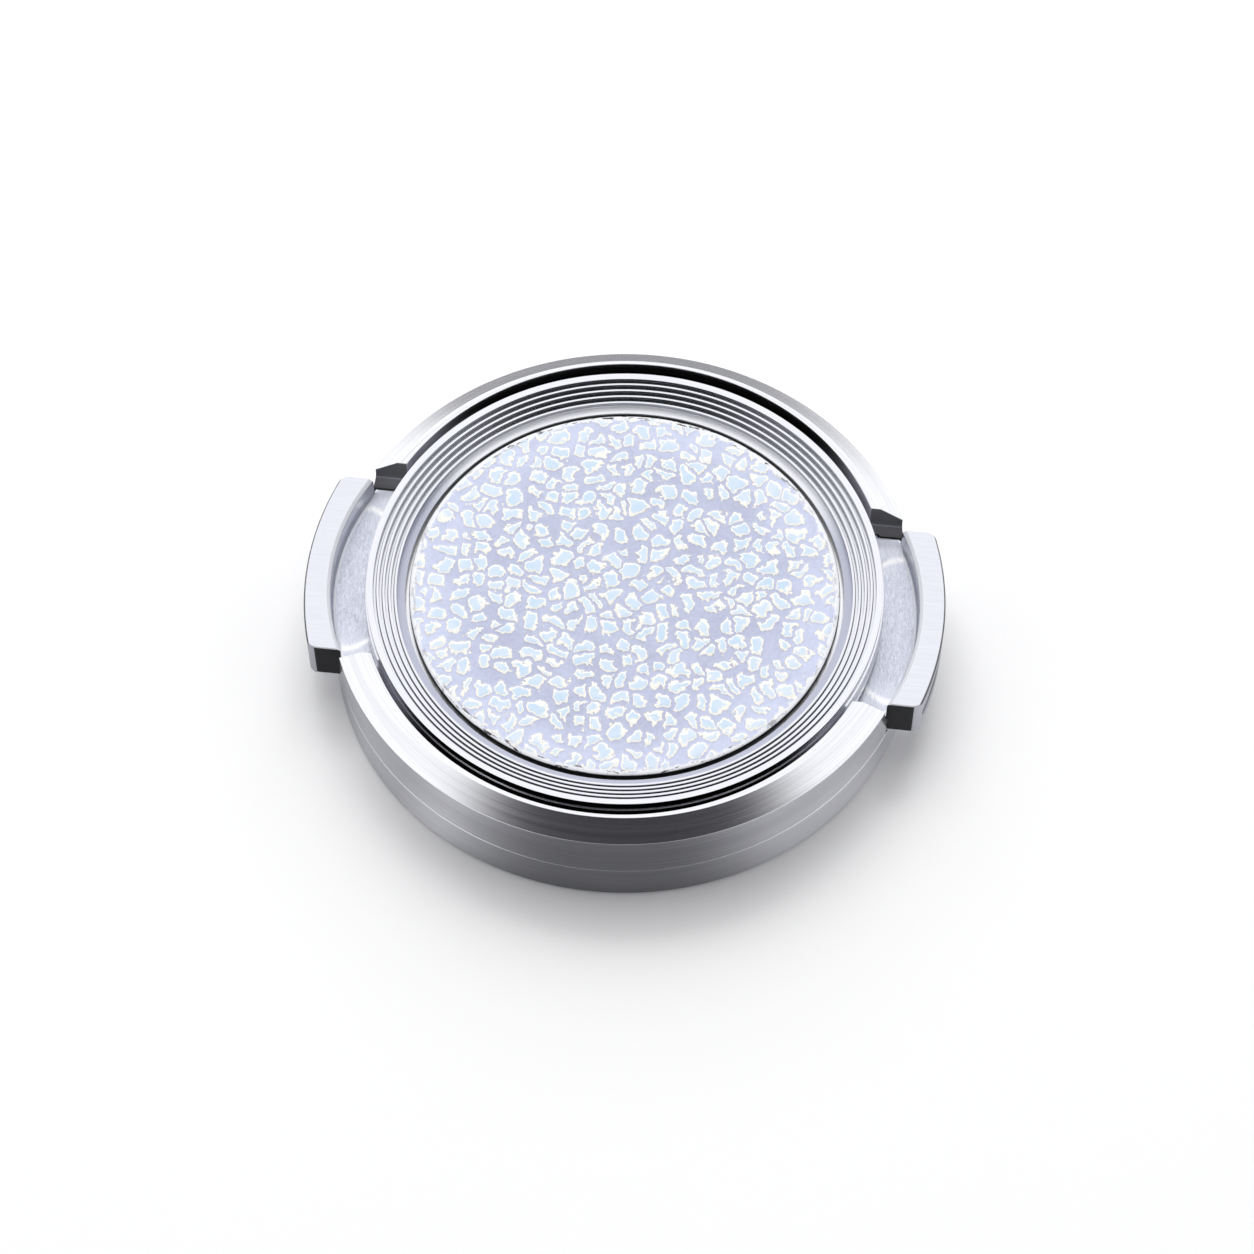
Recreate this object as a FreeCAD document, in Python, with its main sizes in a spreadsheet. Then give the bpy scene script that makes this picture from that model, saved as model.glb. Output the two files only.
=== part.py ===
import FreeCAD, Part
import math
import os
import Sketcher

# Side-pinch lens cap. The origin is the centre of the skirt's lower edge, +Z points out of the front,
# and X runs through the two finger tabs. Millimetres and degrees.
SIZES = [
    ("body_radius", 27.0, "outside of the housing and the skirt"),
    ("housing_wall", 2.1, "wall of the housing round the latches"),
    ("chamfer_width", 1.91, "radial width of the bezel's chamfer"),
    ("chamfer_drop", 1.37, "height of the bezel's chamfer"),
    ("rim_width", 0.35, "flat of the bezel's rim"),
    ("moat_width", 1.08, "dark groove between rim and stepped ring, at its widest"),
    ("moat_end_width", 0.3, "least room between rim and stepped ring"),
    ("moat_shift", 0.89, "how far each half of the dark groove is set out from the axis"),
    ("moat_depth", 2.5, "depth of the dark groove below the rim"),
    ("web_wall", 0.85, "thickness of the housing's web"),
    ("seam_height", 4.2, "parting line between skirt and housing"),
    ("seam_bevel", 0.08, "broken edge on both sides of the parting line"),
    ("seat_rise", 1.0, "ledge of the rear plate above the parting line"),
    ("skirt_wall", 1.4, "wall of the skirt round the lens ring"),
    ("skirt_lap", 0.55, "wall of the skirt round the housing's spigot"),
    ("skirt_lead_in", 0.3, "chamfer at the mouth of the skirt"),
    ("skirt_edge_bevel", 0.2, "broken lower outer edge of the skirt"),
    ("spigot_wall", 0.5, "wall of the spigot that the skirt is pressed on"),
    ("spigot_length", 1.4, "length of the spigot"),
    ("joint_gap", 0.02, "play in glued and pressed joints"),
    ("window_flare", 0.61, "how much longer the window is at the top, at each end"),
    ("lip_rise", 0.05, "start of the coved window end above the slide plate"),
    ("cove_radius", 2.5, "radius of the coved window end"),
    ("ring_sink", 0.06, "top of the stepped ring below the rim"),
    ("ring_flange", 0.15, "flange round the foot of the stepped ring"),
    ("flange_drop", 0.83, "top of the flange below the top of the ring"),
    ("flange_fall", 0.11, "fall of the flange's bevelled edge"),
    ("band_width", 0.59, "flat band on the stepped ring"),
    ("band_drop", 0.1, "fall of the flat band towards the centre"),
    ("groove_count", 4, "grooves on the stepped ring"),
    ("groove_pitch", 0.53, "radial distance from groove to groove"),
    ("groove_width", 0.31, "width of one groove"),
    ("groove_depth", 0.26, "depth of a groove below the next crest"),
    ("step_drop", 0.24, "fall from crest to crest"),
    ("ledge_drop", 0.66, "fall from the last crest to the inner flat"),
    ("ledge_width", 0.76, "flat inside the last crest"),
    ("disc_gap", 0.36, "gap round the centre disc"),
    ("disc_wall", 0.9, "thickness of the centre disc"),
    ("disc_bevel", 0.3, "width of the disc's edge bevel"),
    ("disc_bevel_drop", 0.14, "fall of the disc's edge bevel"),
    ("rear_plate_wall", 0.8, "thickness of the rear plate"),
    ("rear_plate_gap", 0.1, "play of the rear plate in its recess"),
    ("latch_travel", 2.0, "stroke of a finger tab"),
    ("under_gap", 0.1, "play between slide plate and rear plate"),
    ("over_gap", 0.15, "play between slide plate and web"),
    ("side_gap", 0.15, "play of the latch in window, rails and cavity"),
    ("tab_gap", 0.15, "play between finger tab and body"),
    ("tab_wall", 2.35, "thickness of the finger tab"),
    ("tab_half_angle", 20.645, "half the angle that the tab spans on the body"),
    ("tab_end_gap", 0.43, "room between the tab's end and the window's end"),
    ("tab_sink", 1.55, "top of the finger tab below the rim"),
    ("tab_foot_gap", 0.15, "play between finger tab and skirt"),
    ("tab_inner_round", 21.5, "radius of the tab's inner face in plan"),
    ("tab_corner_radius", 0.7, "round on the tab's outer corners"),
    ("tab_inner_bevel", 0.35, "chamfer on the tab's inner top edge"),
    ("tab_outer_bevel", 0.15, "chamfer on the tab's outer top edge"),
    ("scoop_depth", 0.55, "depth of the scooped floor beside the tab"),
    ("scoop_end", 2.45, "length of the scoop's curved ends"),
    ("scoop_lap", 0.5, "how far the scoop runs in under the stepped ring"),
    ("tab_foot_radius", 0.4, "cove between the tab wall and the scooped floor"),
    ("flute_drop", 0.1, "finger flute below the middle of the tab"),
    ("flute_radius", 1.4, "section of the finger flute"),
    ("flute_depth", 0.3, "depth of the finger flute"),
    ("flute_half_angle", 15.5, "half the angle that the flute spans"),
    ("slide_wall", 1.6, "thickness of the slide plate"),
    ("slide_lug", 2.65, "how much wider the slide plate is than the window"),
    ("slide_inner_edge", 10.0, "distance from the centre to the slide plate"),
    ("rail_width", 1.0, "guide rail beside the slide plates"),
    ("rail_root", 0.4, "how far a rail runs into the housing wall"),
    ("bar_half_thickness", 1.25, "spring abutment, half its thickness"),
    ("bar_half_width", 2.5, "spring abutment, half its width"),
    ("pin_offset", 7.0, "distance of a guide pin from the X axis"),
    ("pin_radius", 0.4, "guide pin"),
    ("pin_reach", 1.5, "length of a guide pin inside the latch at rest"),
    ("pin_gap", 0.05, "running play of a guide pin in the latch"),
    ("pin_bore_spare", 0.5, "room past the end of a guide pin when pressed"),
    ("spring_radius", 0.68, "mean radius of a spring's coil"),
    ("spring_wire_radius", 0.12, "wire of a spring"),
    ("spring_turns", 6, "turns of a spring"),
    ("spring_end_gap", 0.03, "play at each end of a spring"),
    ("hook_setback", 0.8, "room between the thread hook and the housing wall"),
    ("hook_wall", 1.9, "thickness of the thread hook"),
    ("hook_drop", 1.3, "lower end of the thread hook below the parting line"),
    ("hook_half_angle", 22.0, "half the angle that the hook spans"),
    ("hook_clearance", 0.4, "room round the hook in the rear plate"),
    ("rib_start", 0.3, "first thread rib above the hook's lower end"),
    ("rib_pitch", 0.75, "pitch of the filter thread"),
    ("rib_count", 2, "thread ribs on a hook"),
    ("rib_height", 0.4, "height of a thread rib"),
    ("rib_root", 0.55, "width of a thread rib at its root"),
    ("rib_tip", 0.15, "width of a thread rib at its tip"),
    ("hook_screw_angle", 12.0, "place of a hook screw on its circle"),
    ("hook_screw_radius", 0.5, "shank of a hook screw"),
    ("hook_screw_bite", 0.8, "length of a hook screw in the latch"),
    ("hook_head_radius", 0.9, "head of a hook screw"),
    ("hook_head_height", 0.6, "height of a hook screw's head"),
    ("hook_head_sink", 0.15, "how far the head lies inside the hook"),
    ("head_gap", 0.08, "play round a screw's head"),
    ("boss_radius", 1.6, "screw boss under the web"),
    ("boss_inset", 3.4, "circle of the bosses inside the housing wall"),
    ("boss_angle", 50.0, "place of a boss from the X axis"),
    ("plate_screw_radius", 0.7, "shank of a rear plate screw"),
    ("plate_screw_bite", 1.4, "length of a rear plate screw in its boss"),
    ("plate_head_radius", 1.25, "countersunk head of a rear plate screw"),
    ("hole_spare", 0.2, "room past the end of a screw"),
]

# Radii and heights that follow from the sizes, from the body inwards and from the parting line up
DERIVED = [
    ("rim_outer_radius", "body_radius - chamfer_width", "outer edge of the rim's flat"),
    ("rim_inner_radius", "rim_outer_radius - rim_width", "outside of the dark groove, at its widest"),
    ("ring_radius", "rim_inner_radius - moat_width", "outside of the stepped ring"),
    ("ring_foot_radius", "ring_radius + ring_flange", "outside of the ring's flange and of the web"),
    ("rim_bore_radius", "ring_radius + moat_end_width", "bore of the rim before the groove is milled wider"),
    ("moat_radius", "rim_inner_radius - moat_shift", "radius of each half of the dark groove"),
    ("ring_bore_radius", "ring_radius - band_width - groove_count * groove_pitch - ledge_width",
     "inside of the stepped ring"),
    ("cavity_radius", "body_radius - housing_wall", "inside of the housing round the latches"),
    ("spigot_radius", "body_radius - skirt_lap", "outside of the spigot"),
    ("recess_radius", "spigot_radius - spigot_wall", "recess of the rear plate"),
    ("skirt_bore_radius", "body_radius - skirt_wall", "bore that shrouds the lens ring"),
    ("tab_inner_radius", "body_radius + tab_gap", "inner face of the finger tab"),
    ("tab_outer_radius", "tab_inner_radius + tab_wall", "outer face of the finger tab"),
    ("tab_half_length", "body_radius * sin(tab_half_angle * 1 deg)", "half length of the finger tab"),
    ("window_half_length", "tab_half_length + tab_end_gap", "half length of the window, low down"),
    ("neck_half", "window_half_length - side_gap", "half width of the latch in the window"),
    ("slide_half_width", "window_half_length + slide_lug", "half width of the slide plate"),
    ("floor_flat_half", "window_half_length - scoop_end", "half length of the floor's flat part"),
    ("pin_half_length", "slide_inner_edge + pin_reach", "half length of a guide pin"),
    ("hook_radius", "cavity_radius - hook_setback", "outer face of the thread hook"),
    ("hook_inner_radius", "hook_radius - hook_wall", "inner face of the thread hook"),
    ("hook_screw_x", "(hook_radius - hook_wall / 2) * cos(hook_screw_angle * 1 deg)",
     "place of a hook screw"),
    ("hook_screw_y", "(hook_radius - hook_wall / 2) * sin(hook_screw_angle * 1 deg)",
     "place of a hook screw"),
    ("boss_x", "(cavity_radius - boss_inset) * cos(boss_angle * 1 deg)", "place of a boss"),
    ("boss_y", "(cavity_radius - boss_inset) * sin(boss_angle * 1 deg)", "place of a boss"),
    ("spigot_foot", "seam_height - spigot_length", "lower end of the spigot"),
    ("hook_foot", "seam_height - hook_drop", "lower end of the thread hook"),
    ("plate_seat", "seam_height + seat_rise", "ledge that the rear plate rests on"),
    ("plate_under", "plate_seat - rear_plate_wall", "underside of the rear plate"),
    ("slide_bottom", "plate_seat + under_gap", "underside of the slide plate"),
    ("slide_top", "slide_bottom + slide_wall", "top of the slide plate"),
    ("pin_height", "(slide_bottom + slide_top) / 2", "axis of the guide pins"),
    ("floor_height", "slide_top - scoop_depth", "scooped floor beside the tab"),
    ("window_lip", "slide_top + lip_rise", "start of the coved window end"),
    ("web_under", "slide_top + over_gap", "underside of the web"),
    ("web_top", "web_under + web_wall", "floor of the groove and seat of ring and disc"),
    ("rim_height", "web_top + moat_depth", "top of the bezel's rim"),
    ("chamfer_foot", "rim_height - chamfer_drop", "height where the bezel's chamfer starts"),
    ("ring_height", "rim_height - ring_sink", "top of the stepped ring"),
    ("disc_height", "web_top + disc_wall", "top of the centre disc"),
    ("tab_bottom", "seam_height + tab_foot_gap", "underside of the finger tab"),
    ("tab_top", "rim_height - tab_sink", "top of the finger tab"),
    ("flute_height", "(tab_bottom + tab_top) / 2 - flute_drop", "middle of the finger flute"),
]

doc = FreeCAD.newDocument("lens_cap")
sheet = doc.addObject("Spreadsheet::Sheet", "Sizes")
rows = SIZES + [(alias, f"={rule}", note) for alias, rule, note in DERIVED]
for row, (alias, value, note) in enumerate(rows, start=1):
    sheet.set(f"A{row}", note)
    sheet.set(f"B{row}", str(value))
    sheet.setAlias(f"B{row}", alias)
doc.recompute()

BOSS_SIGNS = [(1, 1), (-1, 1), (-1, -1), (1, -1)]
WIRE_SIDES = 4
HALF_TURN = FreeCAD.Rotation(FreeCAD.Vector(0, 0, 1), 180)


def number(text):
    """Present value of an expression on the sheet."""
    value = sheet.evalExpression(text)
    return float(getattr(value, "Value", value))


def count(alias):
    return round(number(f"Sizes.{alias}"))


def chord(radius, half):
    """Expression: distance from the centre to a chord with this half length."""
    return f"sqrt(({radius}) ^ 2 - ({half}) ^ 2)"


def new_body(label, turned=False):
    body = doc.addObject("PartDesign::Body", label)
    body.Label = label
    if turned:
        body.Placement = FreeCAD.Placement(FreeCAD.Vector(), HALF_TURN)
    return body


def new_sketch(body, name, role, offset):
    """Empty sketch on one of the body's origin planes, moved along its normal."""
    sketch = body.newObject("Sketcher::SketchObject", name)
    plane = next(item for item in body.Origin.OriginFeatures if item.Role == role)
    sketch.AttachmentSupport = [(plane, "")]
    sketch.MapMode = "FlatFace"
    sketch.setExpression("AttachmentOffset.Base.z", offset)
    return sketch


def bind(sketch, constraint, text):
    """Add a dimension and tie it to the sheet."""
    index = sketch.addConstraint(constraint)
    name = f"size_{index}"
    sketch.renameConstraint(index, name)
    sketch.setExpression(f"Constraints.{name}", text)


def place_point(sketch, item, end, across, up):
    """Tie one point of the sketch to two coordinates."""
    for axis, text, line in (("DistanceX", across, -2), ("DistanceY", up, -1)):
        if text == "0":
            sketch.addConstraint(Sketcher.Constraint("PointOnObject", item, end, line))
        else:
            bind(sketch, Sketcher.Constraint(axis, -1, 1, item, end, number(text)), text)


def outline(sketch, corners):
    """Closed outline. A corner is (across, up), or (across, up, radius, "left" or "right")
    where an arc that turns that way leads to the next corner."""
    spots = [FreeCAD.Vector(number(corner[0]), number(corner[1]), 0) for corner in corners]
    ends = []
    for index, corner in enumerate(corners):
        start = spots[index]
        stop = spots[(index + 1) % len(spots)]
        if len(corner) == 2:
            item = sketch.addGeometry(Part.LineSegment(start, stop), False)
            ends.append((item, 1, 2))
            continue
        radius = number(corner[2])
        span = stop - start
        side = FreeCAD.Vector(span.y, -span.x, 0).normalize()
        rise = radius - math.sqrt(radius ** 2 - (span.Length / 2) ** 2)
        turns_left = corner[3] == "left"
        middle = (start + stop) / 2 + side * (rise if turns_left else -rise)
        item = sketch.addGeometry(Part.Arc(start, middle, stop), False)
        ends.append((item, 1, 2) if turns_left else (item, 2, 1))
        bind(sketch, Sketcher.Constraint("Radius", item, radius), corner[2])
    for index, (item, first, last) in enumerate(ends):
        following, next_first, next_last = ends[(index + 1) % len(ends)]
        sketch.addConstraint(Sketcher.Constraint("Coincident", item, last, following, next_first))
        place_point(sketch, item, first, corners[index][0], corners[index][1])
    return sketch


def rectangle(sketch, left, right, low, high):
    return outline(sketch, [(left, low), (right, low), (right, high), (left, high)])


def circle(sketch, across, up, radius):
    centre = FreeCAD.Vector(number(across), number(up), 0)
    item = sketch.addGeometry(Part.Circle(centre, FreeCAD.Vector(0, 0, 1), number(radius)), False)
    place_point(sketch, item, 3, across, up)
    bind(sketch, Sketcher.Constraint("Radius", item, number(radius)), radius)


def revolve(body, name, corners, angle="360", axis="0"):
    """Turn a section round Z, or round an upright axis at some X, to both sides of the XZ plane."""
    sketch = new_sketch(body, f"{name}_section", "XZ_Plane", "0")
    sketch.setExpression("AttachmentOffset.Base.x", axis)
    outline(sketch, corners)
    turned = body.newObject("PartDesign::Revolution", name)
    turned.Profile = sketch
    turned.ReferenceAxis = (sketch, ["V_Axis"])
    turned.Midplane = True
    turned.setExpression("Angle", angle)
    return turned


def pad(body, name, sketch, length, reverse=False):
    raised = body.newObject("PartDesign::Pad", name)
    raised.Profile = sketch
    raised.Reversed = reverse
    raised.setExpression("Length", length)
    return raised


def pocket(body, name, sketch, length, reverse=False, both_ways=False):
    """Cut, and make sure that it took material away."""
    doc.recompute()
    before = body.Shape.Volume
    cut = body.newObject("PartDesign::Pocket", name)
    cut.Profile = sketch
    cut.Reversed = reverse
    cut.SideType = "Symmetric" if both_ways else "One side"
    cut.setExpression("Length", length)
    doc.recompute()
    if not body.Shape.Volume < before:
        raise RuntimeError(f"{name} cuts nothing")
    return cut


def edges_where(body, wanted):
    """Names of the edges of the body's last feature whose middle point passes the test."""
    doc.recompute()
    names = []
    for index, edge in enumerate(body.Tip.Shape.Edges, start=1):
        middle = edge.valueAt((edge.FirstParameter + edge.LastParameter) / 2)
        if wanted(edge, middle):
            names.append(f"Edge{index}")
    if not names:
        raise RuntimeError(f"no such edge on {body.Label}")
    return names


def dress(body, kind, name, edges, size):
    """Fillet or Chamfer on the named edges of the body's last feature."""
    base = body.Tip
    dressed = body.newObject(f"PartDesign::{kind}", name)
    dressed.Base = (base, edges)
    dressed.setExpression("Radius" if kind == "Fillet" else "Size", size)
    return dressed


def near(first, second):
    return abs(first - second) < 0.01


def front_housing():
    """Bezel turned from bar, with two windows milled through its wall and a web across the front."""
    body = new_body("front_housing")
    revolve(body, "bezel", [
        ("Sizes.ring_bore_radius", "Sizes.web_under"),
        ("Sizes.cavity_radius", "Sizes.web_under"),
        ("Sizes.cavity_radius", "Sizes.plate_seat"),
        ("Sizes.recess_radius", "Sizes.plate_seat"),
        ("Sizes.recess_radius", "Sizes.spigot_foot"),
        ("Sizes.spigot_radius", "Sizes.spigot_foot"),
        ("Sizes.spigot_radius", "Sizes.seam_height"),
        ("Sizes.body_radius - Sizes.seam_bevel", "Sizes.seam_height"),
        ("Sizes.body_radius", "Sizes.seam_height + Sizes.seam_bevel"),
        ("Sizes.body_radius", "Sizes.chamfer_foot"),
        ("Sizes.rim_outer_radius", "Sizes.rim_height"),
        ("Sizes.rim_bore_radius", "Sizes.rim_height"),
        ("Sizes.rim_bore_radius", "Sizes.web_top"),
        ("Sizes.ring_bore_radius", "Sizes.web_top"),
    ])
    meeting = chord("Sizes.moat_radius", "Sizes.moat_shift")
    moat = outline(new_sketch(body, "moat_outline", "XY_Plane", "Sizes.rim_height"), [
        (meeting, "0", "Sizes.moat_radius", "left"),
        ("0", "Sizes.rim_inner_radius", "Sizes.moat_radius", "left"),
        (f"-{meeting}", "0", "Sizes.moat_radius", "left"),
        ("0", "-Sizes.rim_inner_radius", "Sizes.moat_radius", "left"),
    ])
    pocket(body, "moat_halves", moat, "Sizes.moat_depth")
    low = "Sizes.window_half_length"
    high = "(Sizes.window_half_length + Sizes.window_flare)"
    cove_top = ("Sizes.window_lip + sqrt(Sizes.cove_radius ^ 2"
                " - (Sizes.cove_radius - Sizes.window_flare) ^ 2)")
    above = "Sizes.rim_height + Sizes.tab_wall"
    window = outline(new_sketch(body, "window_outline", "YZ_Plane", "0"), [
        (f"-{low}", "Sizes.seam_height"),
        (low, "Sizes.seam_height"),
        (low, "Sizes.window_lip", "Sizes.cove_radius", "left"),
        (high, cove_top),
        (high, above),
        (f"-{high}", above),
        (f"-{high}", cove_top, "Sizes.cove_radius", "left"),
        (f"-{low}", "Sizes.window_lip"),
    ])
    pocket(body, "windows", window, "2 * Sizes.body_radius + Sizes.tab_wall", both_ways=True)
    revolve(body, "web", [
        ("0", "Sizes.web_under"),
        ("Sizes.ring_foot_radius", "Sizes.web_under"),
        ("Sizes.ring_foot_radius", "Sizes.web_top"),
        ("0", "Sizes.web_top"),
    ])
    below = new_sketch(body, "rails_bars_bosses", "XY_Plane", "Sizes.web_under")
    rail_near = "(Sizes.slide_half_width + Sizes.side_gap)"
    rail_far = f"({rail_near} + Sizes.rail_width)"
    rail_end = f"({chord('Sizes.cavity_radius', rail_far)} + Sizes.rail_root)"
    rectangle(below, f"-{rail_end}", rail_end, rail_near, rail_far)
    rectangle(below, f"-{rail_end}", rail_end, f"-{rail_far}", f"-{rail_near}")
    bar_near = "(Sizes.pin_offset - Sizes.bar_half_width)"
    bar_far = "(Sizes.pin_offset + Sizes.bar_half_width)"
    thick = "Sizes.bar_half_thickness"
    rectangle(below, f"-{thick}", thick, bar_near, bar_far)
    rectangle(below, f"-{thick}", thick, f"-{bar_far}", f"-{bar_near}")
    for x_sign, y_sign in BOSS_SIGNS:
        circle(below, f"{x_sign} * Sizes.boss_x", f"{y_sign} * Sizes.boss_y", "Sizes.boss_radius")
    pad(body, "rails_and_bosses", below, "Sizes.web_under - Sizes.plate_seat", reverse=True)
    taps = new_sketch(body, "boss_holes", "XY_Plane", "Sizes.plate_seat")
    for x_sign, y_sign in BOSS_SIGNS:
        circle(taps, f"{x_sign} * Sizes.boss_x", f"{y_sign} * Sizes.boss_y",
               "Sizes.plate_screw_radius + Sizes.joint_gap")
    pocket(body, "tapped_holes", taps, "Sizes.plate_screw_bite + Sizes.hole_spare", reverse=True)
    seats = new_sketch(body, "pin_seats", "YZ_Plane", "0")
    for y_sign in (1, -1):
        circle(seats, f"{y_sign} * Sizes.pin_offset", "Sizes.pin_height",
               "Sizes.pin_radius + Sizes.joint_gap")
    pocket(body, "pin_bores", seats, f"4 * {thick}", both_ways=True)
    return body


def rear_skirt():
    """Turned ring pressed on the housing's spigot, with a bore that shrouds the lens ring."""
    body = new_body("rear_skirt")
    counterbore = "(Sizes.spigot_radius + Sizes.joint_gap)"
    revolve(body, "skirt", [
        ("Sizes.skirt_bore_radius + Sizes.skirt_lead_in", "0"),
        ("Sizes.body_radius - Sizes.skirt_edge_bevel", "0"),
        ("Sizes.body_radius", "Sizes.skirt_edge_bevel"),
        ("Sizes.body_radius", "Sizes.seam_height - Sizes.seam_bevel"),
        ("Sizes.body_radius - Sizes.seam_bevel", "Sizes.seam_height"),
        (counterbore, "Sizes.seam_height"),
        (counterbore, "Sizes.spigot_foot"),
        ("Sizes.skirt_bore_radius", "Sizes.spigot_foot"),
        ("Sizes.skirt_bore_radius", "Sizes.skirt_lead_in"),
    ])
    return body


def stepped_ring():
    """Polished ring whose grooves step down from a flat band to the centre disc."""
    body = new_body("stepped_ring")
    band_inner = "(Sizes.ring_radius - Sizes.band_width)"
    crest = "(Sizes.ring_height - Sizes.band_drop)"
    section = [
        ("Sizes.ring_bore_radius", "Sizes.web_top"),
        ("Sizes.ring_foot_radius", "Sizes.web_top"),
        ("Sizes.ring_foot_radius", "Sizes.ring_height - Sizes.flange_drop - Sizes.flange_fall"),
        ("Sizes.ring_radius", "Sizes.ring_height - Sizes.flange_drop"),
        ("Sizes.ring_radius", "Sizes.ring_height"),
    ]
    for step in range(count("groove_count")):
        outer = f"{band_inner} - {step} * Sizes.groove_pitch"
        top = f"{crest} - {step} * Sizes.step_drop"
        next_top = f"{crest} - {step + 1} * Sizes.step_drop"
        section += [
            (outer, top),
            (outer, f"{next_top} - Sizes.groove_depth"),
            (f"{outer} - Sizes.groove_width", f"{next_top} - Sizes.groove_depth"),
            (f"{outer} - Sizes.groove_width", next_top),
        ]
    last_edge = f"{band_inner} - Sizes.groove_count * Sizes.groove_pitch"
    last_crest = f"{crest} - Sizes.groove_count * Sizes.step_drop"
    section += [
        (last_edge, last_crest),
        (last_edge, f"{last_crest} - Sizes.ledge_drop"),
        ("Sizes.ring_bore_radius", f"{last_crest} - Sizes.ledge_drop"),
    ]
    revolve(body, "steps", section)
    return body


def centre_disc():
    """Round insert glued on the web inside the stepped ring."""
    body = new_body("centre_disc")
    radius = "(Sizes.ring_bore_radius - Sizes.disc_gap)"
    revolve(body, "disc", [
        ("0", "Sizes.web_top"),
        (radius, "Sizes.web_top"),
        (radius, "Sizes.disc_height - Sizes.disc_bevel_drop"),
        (f"{radius} - Sizes.disc_bevel", "Sizes.disc_height"),
        ("0", "Sizes.disc_height"),
    ])
    return body


def rear_plate():
    """Stamped plate that closes the latch space, notched for the thread hooks and the pressed tabs."""
    body = new_body("rear_plate")
    disc = new_sketch(body, "plate_outline", "XY_Plane", "Sizes.plate_under")
    circle(disc, "0", "0", "Sizes.recess_radius - Sizes.rear_plate_gap")
    pad(body, "plate", disc, "Sizes.rear_plate_wall")
    hook_half = "((Sizes.hook_radius + Sizes.rib_height) * sin(Sizes.hook_half_angle * 1 deg))"
    notch_half = f"max({hook_half} + Sizes.hook_clearance; Sizes.window_half_length)"
    notch_start = ("(Sizes.hook_inner_radius * cos(Sizes.hook_half_angle * 1 deg)"
                   " - Sizes.latch_travel - Sizes.hook_clearance)")
    notches = new_sketch(body, "hook_notches", "XY_Plane", "Sizes.plate_under")
    rectangle(notches, notch_start, "Sizes.body_radius", f"-{notch_half}", notch_half)
    rectangle(notches, "-Sizes.body_radius", f"-{notch_start}", f"-{notch_half}", notch_half)
    pocket(body, "notches", notches, "Sizes.rear_plate_wall", reverse=True)
    holes = new_sketch(body, "screw_holes", "XY_Plane", "Sizes.plate_under")
    shank = "(Sizes.plate_screw_radius + Sizes.joint_gap)"
    for x_sign, y_sign in BOSS_SIGNS:
        circle(holes, f"{x_sign} * Sizes.boss_x", f"{y_sign} * Sizes.boss_y", shank)
    pocket(body, "holes", holes, "Sizes.rear_plate_wall", reverse=True)
    under = number("Sizes.plate_under")
    bore = number(shank)
    mouths = edges_where(body, lambda edge, middle: near(middle.z, under)
                         and hasattr(edge.Curve, "Radius") and near(edge.Curve.Radius, bore))
    dress(body, "Chamfer", "countersinks", mouths, "Sizes.plate_head_radius - Sizes.plate_screw_radius")
    return body


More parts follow.
